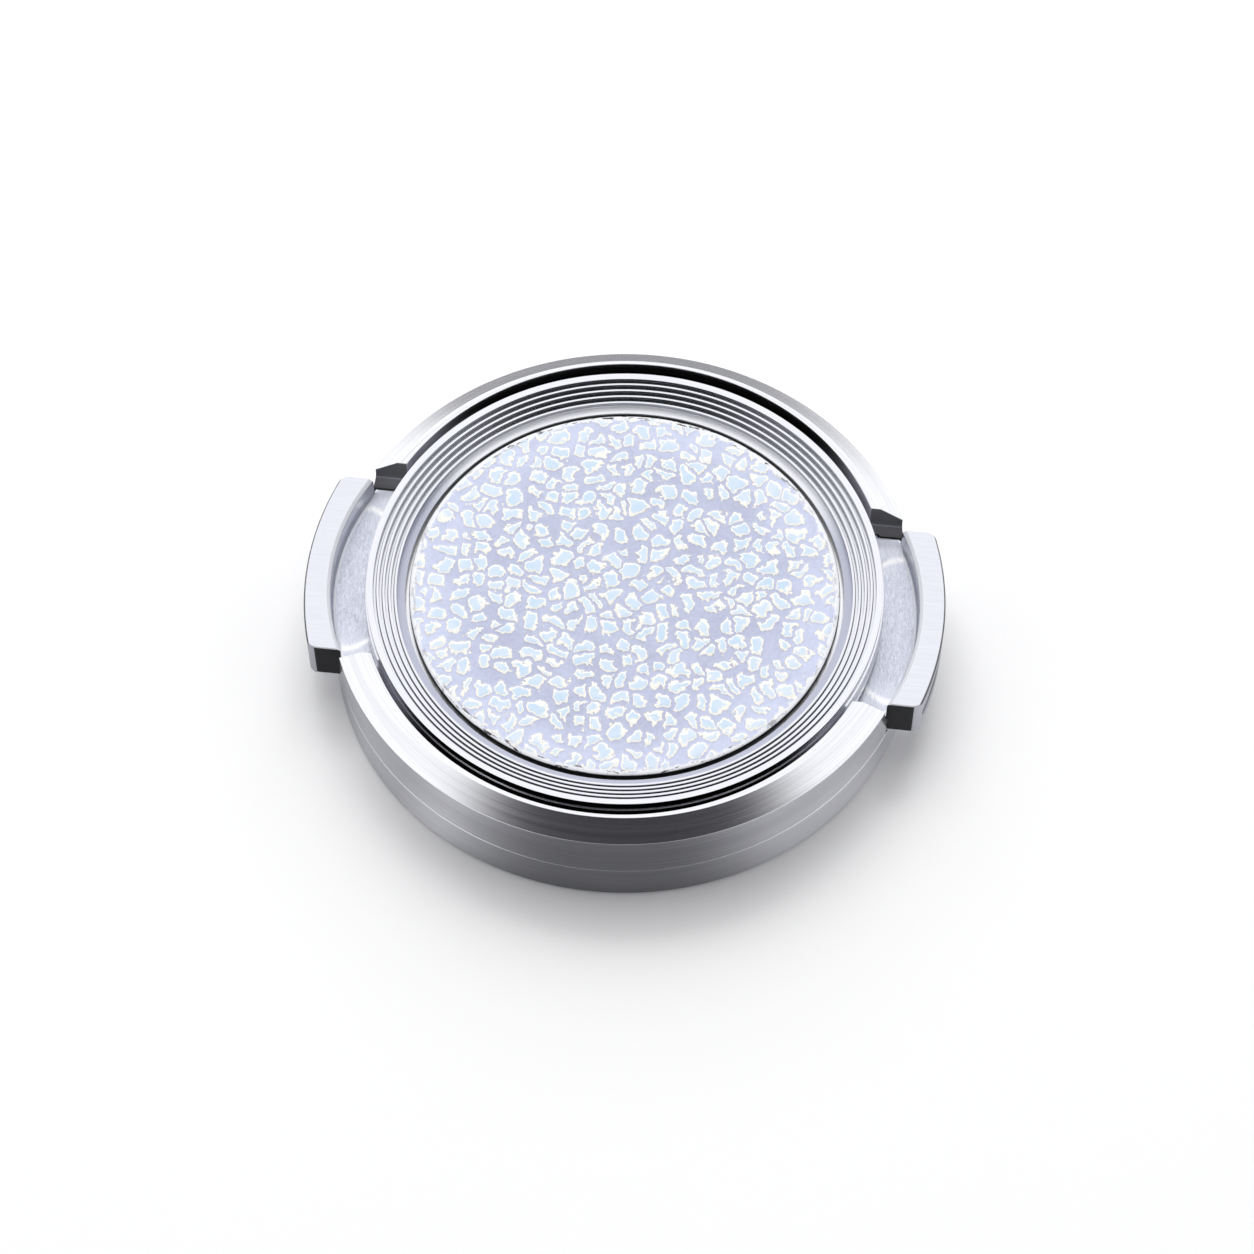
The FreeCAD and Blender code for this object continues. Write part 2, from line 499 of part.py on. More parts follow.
def latch(label, turned):
    """Finger tab, scooped floor and slide plate, milled from one piece."""
    body = new_body(label, turned)
    shoulder = "(Sizes.cavity_radius - Sizes.side_gap)"
    wide = "Sizes.slide_half_width"
    shoulder_x = chord(shoulder, wide)
    throat_x = chord(shoulder, "Sizes.neck_half")
    tab_axis = "(Sizes.tab_inner_radius - Sizes.tab_inner_round)"
    neck_x = f"({tab_axis} + {chord('Sizes.tab_inner_round', 'Sizes.neck_half')})"
    slide = outline(new_sketch(body, "slide_outline", "XY_Plane", "Sizes.slide_bottom"), [
        ("Sizes.slide_inner_edge", f"-{wide}"),
        (shoulder_x, f"-{wide}", shoulder, "left"),
        (throat_x, "-Sizes.neck_half"),
        (neck_x, "-Sizes.neck_half", "Sizes.tab_inner_round", "left"),
        (neck_x, "Sizes.neck_half"),
        (throat_x, "Sizes.neck_half", shoulder, "left"),
        (shoulder_x, wide),
        ("Sizes.slide_inner_edge", wide),
    ])
    pad(body, "slide_plate", slide, "Sizes.slide_top - Sizes.slide_bottom")
    scoop_start = f"{chord('Sizes.ring_radius', 'Sizes.neck_half')} - Sizes.scoop_lap"
    flat = "Sizes.floor_flat_half"
    full = "Sizes.window_half_length"
    rise = "(Sizes.slide_top - Sizes.floor_height)"
    sweep = f"((({full} - {flat}) ^ 2 + {rise} ^ 2) / (2 * {rise}))"
    clear = f"(Sizes.slide_top + {rise})"
    scoop = outline(new_sketch(body, "scoop_outline", "YZ_Plane", scoop_start), [
        (f"-{full}", "Sizes.slide_top", sweep, "left"),
        (f"-{flat}", "Sizes.floor_height"),
        (flat, "Sizes.floor_height", sweep, "left"),
        (full, "Sizes.slide_top"),
        (full, clear),
        (f"-{full}", clear),
    ])
    pocket(body, "scoop", scoop, "Sizes.tab_inner_radius", reverse=True)
    half = "Sizes.tab_half_length"
    inner_x = f"({tab_axis} + {chord('Sizes.tab_inner_round', half)})"
    outer_x = chord("Sizes.tab_outer_radius", half)
    tab = outline(new_sketch(body, "tab_outline", "XY_Plane", "Sizes.tab_bottom"), [
        (inner_x, f"-{half}"),
        (outer_x, f"-{half}", "Sizes.tab_outer_radius", "left"),
        (outer_x, half),
        (inner_x, half, "Sizes.tab_inner_round", "right"),
    ])
    pad(body, "finger_tab", tab, "Sizes.tab_top - Sizes.tab_bottom")
    foot = "Sizes.tab_foot_radius"
    wall = "Sizes.tab_inner_round"
    level = "Sizes.floor_height"
    bite = f"{foot} / 4"
    revolve(body, "foot_cove", [
        (f"{wall} - {foot}", f"{level} - {bite}"),
        (f"{wall} + {bite}", f"{level} - {bite}"),
        (f"{wall} + {bite}", f"{level} + {foot}"),
        (wall, f"{level} + {foot}", foot, "right"),
        (f"{wall} - {foot}", level),
    ], f"2 * asin({half} / {wall})", tab_axis)
    corner_x = number(outer_x)
    end_y = number(half)
    corners = edges_where(body, lambda edge, middle: near(middle.x, corner_x) and near(abs(middle.y), end_y))
    dress(body, "Fillet", "tab_corners", corners, "Sizes.tab_corner_radius")
    top = number("Sizes.tab_top")
    inner = number("Sizes.tab_inner_radius")
    outer = number("Sizes.tab_outer_radius")
    inner_edge = edges_where(body, lambda edge, middle: near(middle.z, top) and near(middle.x, inner))
    dress(body, "Chamfer", "inner_bevel", inner_edge, "Sizes.tab_inner_bevel")
    outer_edge = edges_where(body, lambda edge, middle: near(middle.z, top) and near(middle.x, outer))
    dress(body, "Chamfer", "outer_bevel", outer_edge, "Sizes.tab_outer_bevel")
    flute_x = "(Sizes.tab_outer_radius + Sizes.flute_radius - Sizes.flute_depth)"
    section = new_sketch(body, "flute_section", "XZ_Plane", "0")
    circle(section, flute_x, "Sizes.flute_height", "Sizes.flute_radius")
    flute = body.newObject("PartDesign::Groove", "flute")
    flute.Profile = section
    flute.ReferenceAxis = (section, ["V_Axis"])
    flute.Midplane = True
    flute.setExpression("Angle", "2 * Sizes.flute_half_angle")
    for name, y_sign in (("flute_back_end", 1), ("flute_front_end", -1)):
        ball = body.newObject("PartDesign::SubtractiveSphere", name)
        ball.setExpression("Radius", "Sizes.flute_radius")
        ball.setExpression("Placement.Base.x", f"{flute_x} * cos(Sizes.flute_half_angle * 1 deg)")
        ball.setExpression("Placement.Base.y", f"{y_sign} * {flute_x} * sin(Sizes.flute_half_angle * 1 deg)")
        ball.setExpression("Placement.Base.z", "Sizes.flute_height")
    bores = new_sketch(body, "pin_bore_circles", "YZ_Plane", "Sizes.slide_inner_edge")
    for y_sign in (1, -1):
        circle(bores, f"{y_sign} * Sizes.pin_offset", "Sizes.pin_height", "Sizes.pin_radius + Sizes.pin_gap")
    pocket(body, "pin_bores", bores, "Sizes.pin_half_length - Sizes.slide_inner_edge"
           " + Sizes.latch_travel + Sizes.pin_bore_spare", reverse=True)
    taps = new_sketch(body, "hook_screw_holes", "XY_Plane", "Sizes.slide_bottom")
    for y_sign in (1, -1):
        circle(taps, "Sizes.hook_screw_x", f"{y_sign} * Sizes.hook_screw_y",
               "Sizes.hook_screw_radius + Sizes.joint_gap")
    pocket(body, "tapped_holes", taps, "Sizes.hook_screw_bite + Sizes.joint_gap", reverse=True)
    return body


def thread_hook(label, turned):
    """Moulded shoe under the latch, whose ribs grip the filter thread."""
    body = new_body(label, turned)
    tip = "(Sizes.hook_radius + Sizes.rib_height)"
    slope = "(Sizes.rib_root - Sizes.rib_tip) / 2"
    section = [
        ("Sizes.hook_inner_radius", "Sizes.slide_bottom"),
        ("Sizes.hook_inner_radius", "Sizes.hook_foot"),
        ("Sizes.hook_radius", "Sizes.hook_foot"),
    ]
    for rib in range(count("rib_count")):
        low = f"Sizes.hook_foot + Sizes.rib_start + {rib} * Sizes.rib_pitch"
        section += [
            ("Sizes.hook_radius", low),
            (tip, f"{low} + {slope}"),
            (tip, f"{low} + Sizes.rib_root - {slope}"),
            ("Sizes.hook_radius", f"{low} + Sizes.rib_root"),
        ]
    section.append(("Sizes.hook_radius", "Sizes.slide_bottom"))
    revolve(body, "shoe", section, "2 * Sizes.hook_half_angle")
    for name, radius, depth in (
        ("screw_holes", "Sizes.hook_screw_radius + Sizes.joint_gap", "Sizes.slide_bottom - Sizes.hook_foot"),
        ("head_recesses", "Sizes.hook_head_radius + Sizes.head_gap",
         "Sizes.hook_head_height + Sizes.hook_head_sink"),
    ):
        rounds = new_sketch(body, f"{name}_circles", "XY_Plane", "Sizes.hook_foot")
        for y_sign in (1, -1):
            circle(rounds, "Sizes.hook_screw_x", f"{y_sign} * Sizes.hook_screw_y", radius)
        pocket(body, name, rounds, depth, reverse=True)
    return body


def part_object(kind, name, **sizes):
    """A primitive whose properties are tied to the sheet."""
    item = doc.addObject(f"Part::{kind}", name)
    for prop, text in sizes.items():
        item.setExpression(prop.replace("__", "."), text)
    return item


def group(label, members, turned=False):
    """Like pieces that share one node, as separate solids."""
    together = doc.addObject("Part::Compound", label)
    together.Label = label
    together.Links = members
    if turned:
        together.Placement = FreeCAD.Placement(FreeCAD.Vector(), HALF_TURN)
    return together


def screw(name, head, shank):
    joined = doc.addObject("Part::Fuse", name)
    joined.Base = head
    joined.Tool = shank
    return joined


def hook_screws(label, turned):
    """Cheese-head screws, driven from behind through the shoe into the latch."""
    screws = []
    head_low = "(Sizes.hook_foot + Sizes.hook_head_sink)"
    for y_sign in (1, -1):
        spot = {"Placement__Base__x": "Sizes.hook_screw_x",
                "Placement__Base__y": f"{y_sign} * Sizes.hook_screw_y",
                "Placement__Base__z": head_low}
        head = part_object("Cylinder", f"{label}_head", Radius="Sizes.hook_head_radius",
                           Height="Sizes.hook_head_height", **spot)
        shank = part_object("Cylinder", f"{label}_shank", Radius="Sizes.hook_screw_radius",
                            Height=f"Sizes.slide_bottom + Sizes.hook_screw_bite - {head_low}", **spot)
        screws.append(screw(f"{label}_one", head, shank))
    return group(label, screws, turned)


def rear_plate_screws():
    """Countersunk screws, flush with the rear plate, in the housing's bosses."""
    screws = []
    for x_sign, y_sign in BOSS_SIGNS:
        spot = {"Placement__Base__x": f"{x_sign} * Sizes.boss_x",
                "Placement__Base__y": f"{y_sign} * Sizes.boss_y",
                "Placement__Base__z": "Sizes.plate_under"}
        head = part_object("Cone", "plate_screw_head", Radius1="Sizes.plate_head_radius",
                           Radius2="Sizes.plate_screw_radius",
                           Height="Sizes.plate_head_radius - Sizes.plate_screw_radius", **spot)
        shank = part_object("Cylinder", "plate_screw_shank", Radius="Sizes.plate_screw_radius",
                            Height="Sizes.rear_plate_wall + Sizes.plate_screw_bite", **spot)
        screws.append(screw("plate_screw", head, shank))
    return group("rear_plate_screws", screws)


def guide_pin(label, y_sign):
    """Drawn rod along X, fixed in the abutment, free in both latches."""
    pin = part_object("Cylinder", label, Radius="Sizes.pin_radius", Height="2 * Sizes.pin_half_length",
                      Placement__Base__x="-Sizes.pin_half_length",
                      Placement__Base__y=f"{y_sign} * Sizes.pin_offset",
                      Placement__Base__z="Sizes.pin_height")
    pin.Placement.Rotation = FreeCAD.Rotation(FreeCAD.Vector(0, 1, 0), 90)
    pin.Label = label
    return pin


def spring(label, x_sign, y_sign):
    """Compression spring round a guide pin, between the abutment and one latch."""
    room = ("(Sizes.slide_inner_edge - Sizes.bar_half_thickness"
            " - 2 * Sizes.spring_end_gap - 2 * Sizes.spring_wire_radius)")
    coil = part_object("Helix", f"{label}_coil", Radius="Sizes.spring_radius", Height=room,
                       Pitch=f"{room} / Sizes.spring_turns")
    wire = part_object("RegularPolygon", f"{label}_wire", Circumradius="Sizes.spring_wire_radius",
                       Placement__Base__x="Sizes.spring_radius")
    wire.Polygon = WIRE_SIDES
    wire.Placement.Rotation = FreeCAD.Rotation(FreeCAD.Vector(1, 0, 0), 90)
    wound = doc.addObject("Part::Sweep", label)
    wound.Label = label
    wound.Sections = [wire]
    doc.recompute()
    wound.Spine = (coil, [f"Edge{index + 1}" for index in range(len(coil.Shape.Edges))])
    wound.Solid = True
    wound.Frenet = True
    wound.Placement.Rotation = FreeCAD.Rotation(FreeCAD.Vector(0, 1, 0), 90 * x_sign)
    start = "(Sizes.bar_half_thickness + Sizes.spring_end_gap + Sizes.spring_wire_radius)"
    wound.setExpression("Placement.Base.x", f"{x_sign} * {start}")
    wound.setExpression("Placement.Base.y", f"{y_sign} * Sizes.pin_offset")
    wound.setExpression("Placement.Base.z", "Sizes.pin_height")
    return wound


nodes = [
    front_housing(),
    rear_skirt(),
    stepped_ring(),
    centre_disc(),
    rear_plate(),
    rear_plate_screws(),
    guide_pin("front_guide_pin", -1),
    guide_pin("back_guide_pin", 1),
]
for side, x_sign in (("right", 1), ("left", -1)):
    turned = x_sign < 0
    nodes += [
        latch(f"{side}_latch", turned),
        thread_hook(f"{side}_thread_hook", turned),
        hook_screws(f"{side}_hook_screws", turned),
        spring(f"{side}_front_spring", x_sign, -1),
        spring(f"{side}_back_spring", x_sign, 1),
    ]
doc.recompute()

for item in doc.Objects:
    if "Invalid" in item.State or "Error" in item.State:
        raise RuntimeError(f"{item.Label} failed: {item.State}")
for node in nodes:
    if node.Shape.isNull() or not node.Shape.isValid() or not node.Shape.Solids:
        raise RuntimeError(f"{node.Label} has no valid solid")

os.makedirs("parts", exist_ok=True)
for node in nodes:
    node.Shape.exportStep(f"parts/{node.Label}.step")
    box = node.Shape.BoundBox
    print(f"{node.Label}: {len(node.Shape.Solids)} solid(s), {node.Shape.Volume:.2f} mm3,"
          f" x {box.XMin:.2f} {box.XMax:.2f}, y {box.YMin:.2f} {box.YMax:.2f},"
          f" z {box.ZMin:.2f} {box.ZMax:.2f}")
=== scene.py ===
import bmesh
import bpy
import math
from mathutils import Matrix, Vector


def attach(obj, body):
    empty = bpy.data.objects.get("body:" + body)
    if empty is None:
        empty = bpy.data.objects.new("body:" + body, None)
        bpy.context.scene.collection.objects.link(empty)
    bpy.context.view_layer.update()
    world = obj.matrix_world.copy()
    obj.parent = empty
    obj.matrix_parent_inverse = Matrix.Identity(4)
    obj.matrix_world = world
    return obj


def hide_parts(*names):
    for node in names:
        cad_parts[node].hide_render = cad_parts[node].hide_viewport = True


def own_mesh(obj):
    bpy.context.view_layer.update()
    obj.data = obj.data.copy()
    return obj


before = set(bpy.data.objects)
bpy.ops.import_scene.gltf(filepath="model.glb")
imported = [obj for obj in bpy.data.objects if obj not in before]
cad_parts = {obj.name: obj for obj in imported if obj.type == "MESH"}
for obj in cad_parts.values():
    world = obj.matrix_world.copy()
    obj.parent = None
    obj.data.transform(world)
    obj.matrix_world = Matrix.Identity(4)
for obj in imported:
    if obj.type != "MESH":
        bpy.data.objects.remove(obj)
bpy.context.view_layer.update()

# Front housing: the bezel, turned from aluminium bar and brushed round its axis, with a window milled
# through the wall at each side for the finger tabs. A web across it carries the ring and the disc.
# The milled window ends are dark, and the groove inside the rim, called the moat here, is blackened.
MM = 0.001
FULL_TURN = 2 * math.pi
body_radius = 27.0
seam_height = 4.2
seam_bevel = 0.08
chamfer_foot = 9.03
rim_height = 10.4
rim_outer_radius = 25.09
rim_inner_radius = 24.74
moat_shift = 0.89
web_top = 7.9
web_under = 7.05
web_radius = 23.81
cavity_radius = 24.9
plate_seat = 5.2
recess_radius = 25.95
spigot_radius = 26.45
spigot_foot = 2.8
window_half = 9.95
window_flare = 0.61
window_lip = 6.95
cove_radius = 2.5
cove_row = 0.18
edge_round = 0.045
rail_near = 12.75
rail_far = 13.75
rail_end = 21.15
pin_offset = 7.0
abutment_half_x = 1.25
abutment_half_y = 2.5

class Field:
    """A socket of a node tree. Sums, products and comparisons of fields add Math nodes."""

    def __init__(self, tree, socket=None):
        self.tree = tree
        self.socket = socket

    def node(self, kind, settings=None, sockets=None, out=0):
        """Add a node, set its settings and then its sockets, and give one of its outputs."""
        made = self.tree.nodes.new(kind)
        for name, value in (settings or {}).items():
            setattr(made, name, value)
        for key, value in (sockets or {}).items():
            if isinstance(value, Field):
                self.tree.links.new(value.socket, made.inputs[key])
            else:
                made.inputs[key].default_value = value
        return Field(self.tree, made.outputs[out]) if len(made.outputs) else None

    def other(self, out):
        """Another output of the same node."""
        return Field(self.tree, self.socket.node.outputs[out])

    def math(self, operation, *values):
        """This field, with further values, put through a Math node."""
        return self.node("ShaderNodeMath", {"operation": operation}, dict(enumerate((self, *values))))

    def __add__(self, value):
        return self.math("ADD", value)

    __radd__ = __add__

    def __sub__(self, value):
        return self.math("SUBTRACT", value)

    def __rsub__(self, value):
        return self.node("ShaderNodeMath", {"operation": "SUBTRACT"}, {0: value, 1: self})

    def __mul__(self, value):
        return self.math("MULTIPLY", value)

    __rmul__ = __mul__

    def __truediv__(self, value):
        return self.math("DIVIDE", value)

    def __gt__(self, value):
        return self.math("GREATER_THAN", value)

    def __lt__(self, value):
        return self.math("LESS_THAN", value)

    def ease(self, low, high):
        """0 at low, 1 at high and smooth between them."""
        return self.node("ShaderNodeMapRange", {"interpolation_type": "SMOOTHSTEP"},
                         {"Value": self, "From Min": low, "From Max": high})

    def tint(self, low, high):
        """Colour that goes from low to high as this field goes from 0 to 1."""
        return self.node("ShaderNodeMix", {"data_type": "RGBA"}, {0: self, 6: low, 7: high}, out=2)

def finish(name, paint):
    """Material whose Principled shader gets the sockets that paint gives."""
    material = bpy.data.materials.new(name)
    material.use_nodes = True
    shader = material.node_tree.nodes["Principled BSDF"]
    for key, value in paint(Field(material.node_tree)).items():
        if isinstance(value, Field):
            material.node_tree.links.new(value.socket, shader.inputs[key])
        else:
            shader.inputs[key].default_value = value
    return material

def place(at):
    """Object coordinates as x, y and z."""
    x = at.node("ShaderNodeSeparateXYZ", None, {0: at.node("ShaderNodeTexCoord", out="Object")})
    return x, x.other("Y"), x.other("Z")

def off_axis(x, y):
    """Distance of a point from the axis."""
    return (x * x + y * y).math("SQRT")

def turning_marks(at, fineness, reach):
    """Fine streaks round the axis, as the brushing leaves them, from 0 to 1."""
    x, y, z = place(at)
    radius = off_axis(x, y)
    lined = at.node("ShaderNodeCombineXYZ", None,
                    {"X": radius * fineness, "Y": z * fineness, "Z": x / radius * reach})
    return at.node("ShaderNodeTexNoise", {"noise_dimensions": "4D"}, {
        "Vector": lined, "W": y / radius * reach, "Scale": 1.0, "Detail": 3.0, "Roughness": 0.65})

def grains(at, fineness, detail=2.0):
    """Plain even noise from 0 to 1, with so many grains in a metre."""
    return at.node("ShaderNodeTexNoise", None, {
        "Vector": at.node("ShaderNodeTexCoord", out="Object"),
        "Scale": fineness, "Detail": detail, "Roughness": 0.6})

def bumped(height, strength, depth):
    """Normal of a surface with this height pattern."""
    return height.node("ShaderNodeBump", None,
                       {"Height": height, "Strength": strength, "Distance": depth}, out="Normal")

def brushed_aluminium(at):
    fine = turning_marks(at, 9000.0, 1.6)
    broad = turning_marks(at, 1400.0, 0.8)
    brushing = (0.6 * fine + 0.4 * broad).ease(0.25, 0.75)
    return {
        "Base Color": brushing.tint((0.64, 0.645, 0.67, 1), (0.86, 0.865, 0.89, 1)),
        "Metallic": 1.0,
        "Roughness": 0.16 + 0.12 * fine,
        "Normal": bumped(fine, 0.07, 0.01 * MM),
    }

def blackened_metal(at):
    """Black. The moat is painted a lighter grey where it narrows towards the windows, as painted light, and
    has a painted sheen near the rim. The upper and lower edges of the tabs' sawn ends carry a painted
    highlight."""
    x, y, z = place(at)
    marks = grains(at, 4000.0)
    past_window = y.math("ABSOLUTE") > 10.0 * MM
    # Painted light: the moat's black turns grey towards the windows, where light falls into the moat.
    wear_and_painted_light = x.math("ABSOLUTE").ease(15.0 * MM, 20.5 * MM) * (z > 7.5 * MM) * past_window
    black = wear_and_painted_light.tint((0.008, 0.008, 0.009, 1), (0.5, 0.5, 0.55, 1))
    # Painted sheen: a lighter metal band high on the moat's wall, near the rim.
    sheen = z.ease(9.2 * MM, 9.7 * MM) * (1 - wear_and_painted_light)
    shining = sheen.tint(black, (0.12, 0.12, 0.125, 1))
    tab_middle = 6.6 * MM
    # Painted highlight: a pale line along the upper and lower edges of the tabs' sawn ends.
    tab_end = (z < 9.0 * MM) * (1 - past_window)
    painted_edge_highlight = (z - tab_middle).math("ABSOLUTE").ease(2.02 * MM, 2.1 * MM) * tab_end
    return {
        "Base Color": painted_edge_highlight.tint(shining, (0.9, 0.91, 0.94, 1)),
        "Specular IOR Level": 0.3,
        "Metallic": sheen,
        "Roughness": 0.3 + 0.2 * marks,
        "Normal": bumped(marks, 0.2, 0.01 * MM),
    }

def cut_face(at):
    """Milled window ends: dark grey, with a painted glint, a little lighter, where the cove bends."""
    height = place(at)[2]
    # Painted glint: a lighter band across the end face where the cove bends.
    painted_glint = height.ease(6.6 * MM, 7.6 * MM) * (1 - height.ease(7.7 * MM, 8.5 * MM))
    return {
        "Base Color": painted_glint.tint((0.18, 0.18, 0.183, 1), (0.3, 0.3, 0.304, 1)),
        "Roughness": 0.32 + 0.15 * grains(at, 4000.0),
    }

housing_metal = finish("housing_metal", brushed_aluminium)
blackened = finish("blackened_metal", blackened_metal)
cut_metal = finish("cut_face", cut_face)

def softened(corners, size):
    """The same closed outline with each corner rounded, and a point just outside each round
    so that the flats between them shade flat."""
    largest_share = 0.3
    outside = 1.4
    steps = 4
    soft = []
    for index, corner in enumerate(corners):
        spot = Vector(corner)
        before = Vector(corners[index - 1]) - spot
        after = Vector(corners[(index + 1) % len(corners)]) - spot
        cut = min(size, largest_share * before.length, largest_share * after.length)
        start = spot + before.normalized() * cut
        stop = spot + after.normalized() * cut
        soft.append(spot + before.normalized() * outside * cut)
        for step in range(steps + 1):
            share = step / steps
            soft.append((1 - share) ** 2 * start + 2 * share * (1 - share) * spot + share ** 2 * stop)
        soft.append(spot + after.normalized() * outside * cut)
    return [(spot.x, spot.y) for spot in soft]

def ring_mesh(section, columns=384):
    """A closed (radius, height) section turned all the way round Z."""
    weld = 0.0001 * MM
    angles = [FULL_TURN * column / columns for column in range(columns)]
    solid = bmesh.new()
    rows = []
    for radius, height in section:
        spots = [(radius * math.cos(angle) * MM, radius * math.sin(angle) * MM, height * MM)
                 for angle in angles]
        rows.append([solid.verts.new(spot) for spot in spots])
    for index, row in enumerate(rows):
        following = rows[(index + 1) % len(rows)]
        for column in range(columns):
            beside = (column + 1) % columns
            solid.faces.new((row[column], row[beside], following[beside], following[column]))
    bmesh.ops.remove_doubles(solid, verts=solid.verts[:], dist=weld)
    bmesh.ops.dissolve_degenerate(solid, edges=solid.edges[:], dist=weld)
    bmesh.ops.recalc_face_normals(solid, faces=solid.faces[:])
    return solid

def cut_across(flat, spot, normal):
    """Cut the faces of a flat outline in millimetres along a plane."""
    bmesh.ops.bisect_plane(flat, geom=flat.verts[:] + flat.edges[:] + flat.faces[:], dist=0.0001,
                           plane_co=spot, plane_no=normal)

def arc_mesh(section, span, columns, heights=(), radii=(), shift=None):
    """A closed (radius, height) section turned round Z between the two angles that span gives for a
    radius and height. Its end faces take the second material. heights and radii cut the end faces where
    they bend, and shift may move a point of the turned faces by its radius, angle and height."""
    end_slot = 1
    flat = bmesh.new()
    flat.faces.new([flat.verts.new((radius, 0, height)) for radius, height in section])
    for cuts, normal in ((heights, Vector((0, 0, 1))), (radii, Vector((1, 0, 0)))):
        for cut in cuts:
            cut_across(flat, normal * cut, normal)
    flat.verts.index_update()
    spots = [(vert.co.x, vert.co.z) for vert in flat.verts]
    outline = [(edge.verts[0].index, edge.verts[1].index) for edge in flat.edges if edge.is_boundary]
    ends = [[vert.index for vert in face.verts] for face in flat.faces]
    flat.free()
    turned = {index for edge in outline for index in edge}
    solid = bmesh.new()
    grid = {}
    for index, (radius, height) in enumerate(spots):
        first, last = span(radius, height)
        for column in range(columns + 1):
            if index in turned or column in (0, columns):
                angle = first + (last - first) * column / columns
                away = shift(radius, angle, height) if shift else radius
                grid[index, column] = solid.verts.new(
                    (away * math.cos(angle) * MM, away * math.sin(angle) * MM, height * MM))
    for one, two in outline:
        for column in range(columns):
            beside = column + 1
            solid.faces.new((grid[one, column], grid[two, column], grid[two, beside], grid[one, beside]))
    for end in ends:
        for column in (0, columns):
            solid.faces.new([grid[index, column] for index in end]).material_index = end_slot
    bmesh.ops.recalc_face_normals(solid, faces=solid.faces[:])
    return solid

def block_mesh(low, high):
    """A plain block between two corners."""
    solid = bmesh.new()
    for vert in bmesh.ops.create_cube(solid, size=1.0)["verts"]:
        vert.co = [(low[axis] if vert.co[axis] < 0 else high[axis]) * MM for axis in range(3)]
    return solid

def as_mesh(name, solid):
    """Plain mesh of a finished solid."""
    mesh = bpy.data.meshes.new(name)
    solid.to_mesh(mesh)
    solid.free()
    return mesh

def joined(solids):
    """One mesh of several closed shells."""
    together = bmesh.new()
    for solid in solids:
        part = as_mesh("part", solid)
        together.from_mesh(part)
        bpy.data.meshes.remove(part)
    return together

def half_turn(solid):
    """The same mesh turned by half a turn round Z."""
    for vert in solid.verts:
        vert.co.x, vert.co.y = -vert.co.x, -vert.co.y
    return solid

def shaded(mesh, sharp=32):
    """Smooth shading with sharp edges over this angle in degrees."""
    mesh.polygons.foreach_set("use_smooth", [True] * len(mesh.polygons))
    mesh.set_sharp_from_angle(angle=math.radians(sharp))
    return mesh

def in_scene(name, data):
    """New object of the scene with this mesh, lamp or camera."""
    item = bpy.data.objects.new(name, data)
    bpy.context.scene.collection.objects.link(item)
    return item

def new_piece(name, solid, *materials):
    """Smooth piece of a finished solid."""
    mesh = as_mesh(name, solid)
    for material in materials:
        mesh.materials.append(material)
    return in_scene(name, shaded(mesh))

def made_flat(piece):
    """Turn a piece with modifiers into a plain mesh without them."""
    view = bpy.context.evaluated_depsgraph_get()
    mesh = bpy.data.meshes.new_from_object(
        piece.evaluated_get(view), preserve_all_data_layers=True, depsgraph=view)
    piece.modifiers.clear()
    piece.data = mesh
    mesh.name = piece.name

def edge_rounds(piece, width, slot=-1, over=30):
    """Round the edges of a finished mesh that are sharper than this angle in degrees, and keep its flats
    flat. The rounds may take the material of one slot."""
    rounds = piece.modifiers.new("rounds", "BEVEL")
    rounds.width = width * MM
    rounds.segments = 2
    rounds.limit_method = "ANGLE"
    rounds.angle_limit = math.radians(over)
    rounds.harden_normals = True
    rounds.material = slot
    made_flat(piece)

def window_end(height):
    """Distance of the window's end face from the X axis at this height."""
    cove_top = window_lip + math.sqrt(cove_radius ** 2 - (cove_radius - window_flare) ** 2)
    if height <= window_lip:
        return window_half
    if height >= cove_top:
        return window_half + window_flare
    return window_half + window_flare - cove_radius + math.sqrt(cove_radius ** 2 - (cove_top - height) ** 2)

def beside_moat(radius, height):
    """Whether a point of the wall's section lies on the rim's inner face."""
    return height > web_top - 0.01 and abs(radius - rim_inner_radius) < 0.15

def moat_wall(radius, angle, height):
    """Radius of the wall's faces. The moat is milled as two arcs set out from the axis, so it is widest
    in the middle of each wall and narrows towards the windows."""
    if not beside_moat(radius, height):
        return radius
    arc = radius - moat_shift
    return moat_shift * math.sin(angle) + math.sqrt(arc ** 2 - (moat_shift * math.cos(angle)) ** 2)

def wall_span(radius, height):
    """The two angles between which a wall runs from window to window."""
    end = window_end(height)
    start = math.asin(end / radius)
    if beside_moat(radius, height):
        start = math.atan2(end, math.sqrt((radius - moat_shift) ** 2 - (end - moat_shift) ** 2))
    return start, math.pi - start

wall_section = softened([
    (body_radius - seam_bevel, seam_height), (body_radius, seam_height + seam_bevel),
    (body_radius, chamfer_foot), (rim_outer_radius, rim_height),
    (rim_inner_radius, rim_height), (rim_inner_radius, web_top),
    (web_radius, web_top), (web_radius, web_under),
    (cavity_radius, web_under), (cavity_radius, plate_seat),
    (recess_radius, plate_seat), (recess_radius, seam_height),
], edge_round)
cove_heights = [window_lip + cove_row * step for step in range(10)]
black_slot = 2
walls = []
for turned in (False, True):
    wall = arc_mesh(wall_section, wall_span, columns=160, heights=cove_heights, shift=moat_wall)
    for face in wall.faces:
        middle = face.calc_center_median() / MM
        inside = math.hypot(middle.x, middle.y) < rim_inner_radius + 0.02
        if inside and web_top - 0.1 < middle.z < rim_height - 0.12:
            face.material_index = black_slot
    walls.append(half_turn(wall) if turned else wall)
spigot_section = softened([
    (recess_radius, spigot_foot), (spigot_radius, spigot_foot),
    (spigot_radius, seam_height), (recess_radius, seam_height),
], edge_round)
spigot = ring_mesh(spigot_section, columns=192)
web_section = [(0, web_under), (web_radius, web_under), (web_radius, web_top), (0, web_top)]
web = ring_mesh(web_section, columns=192)
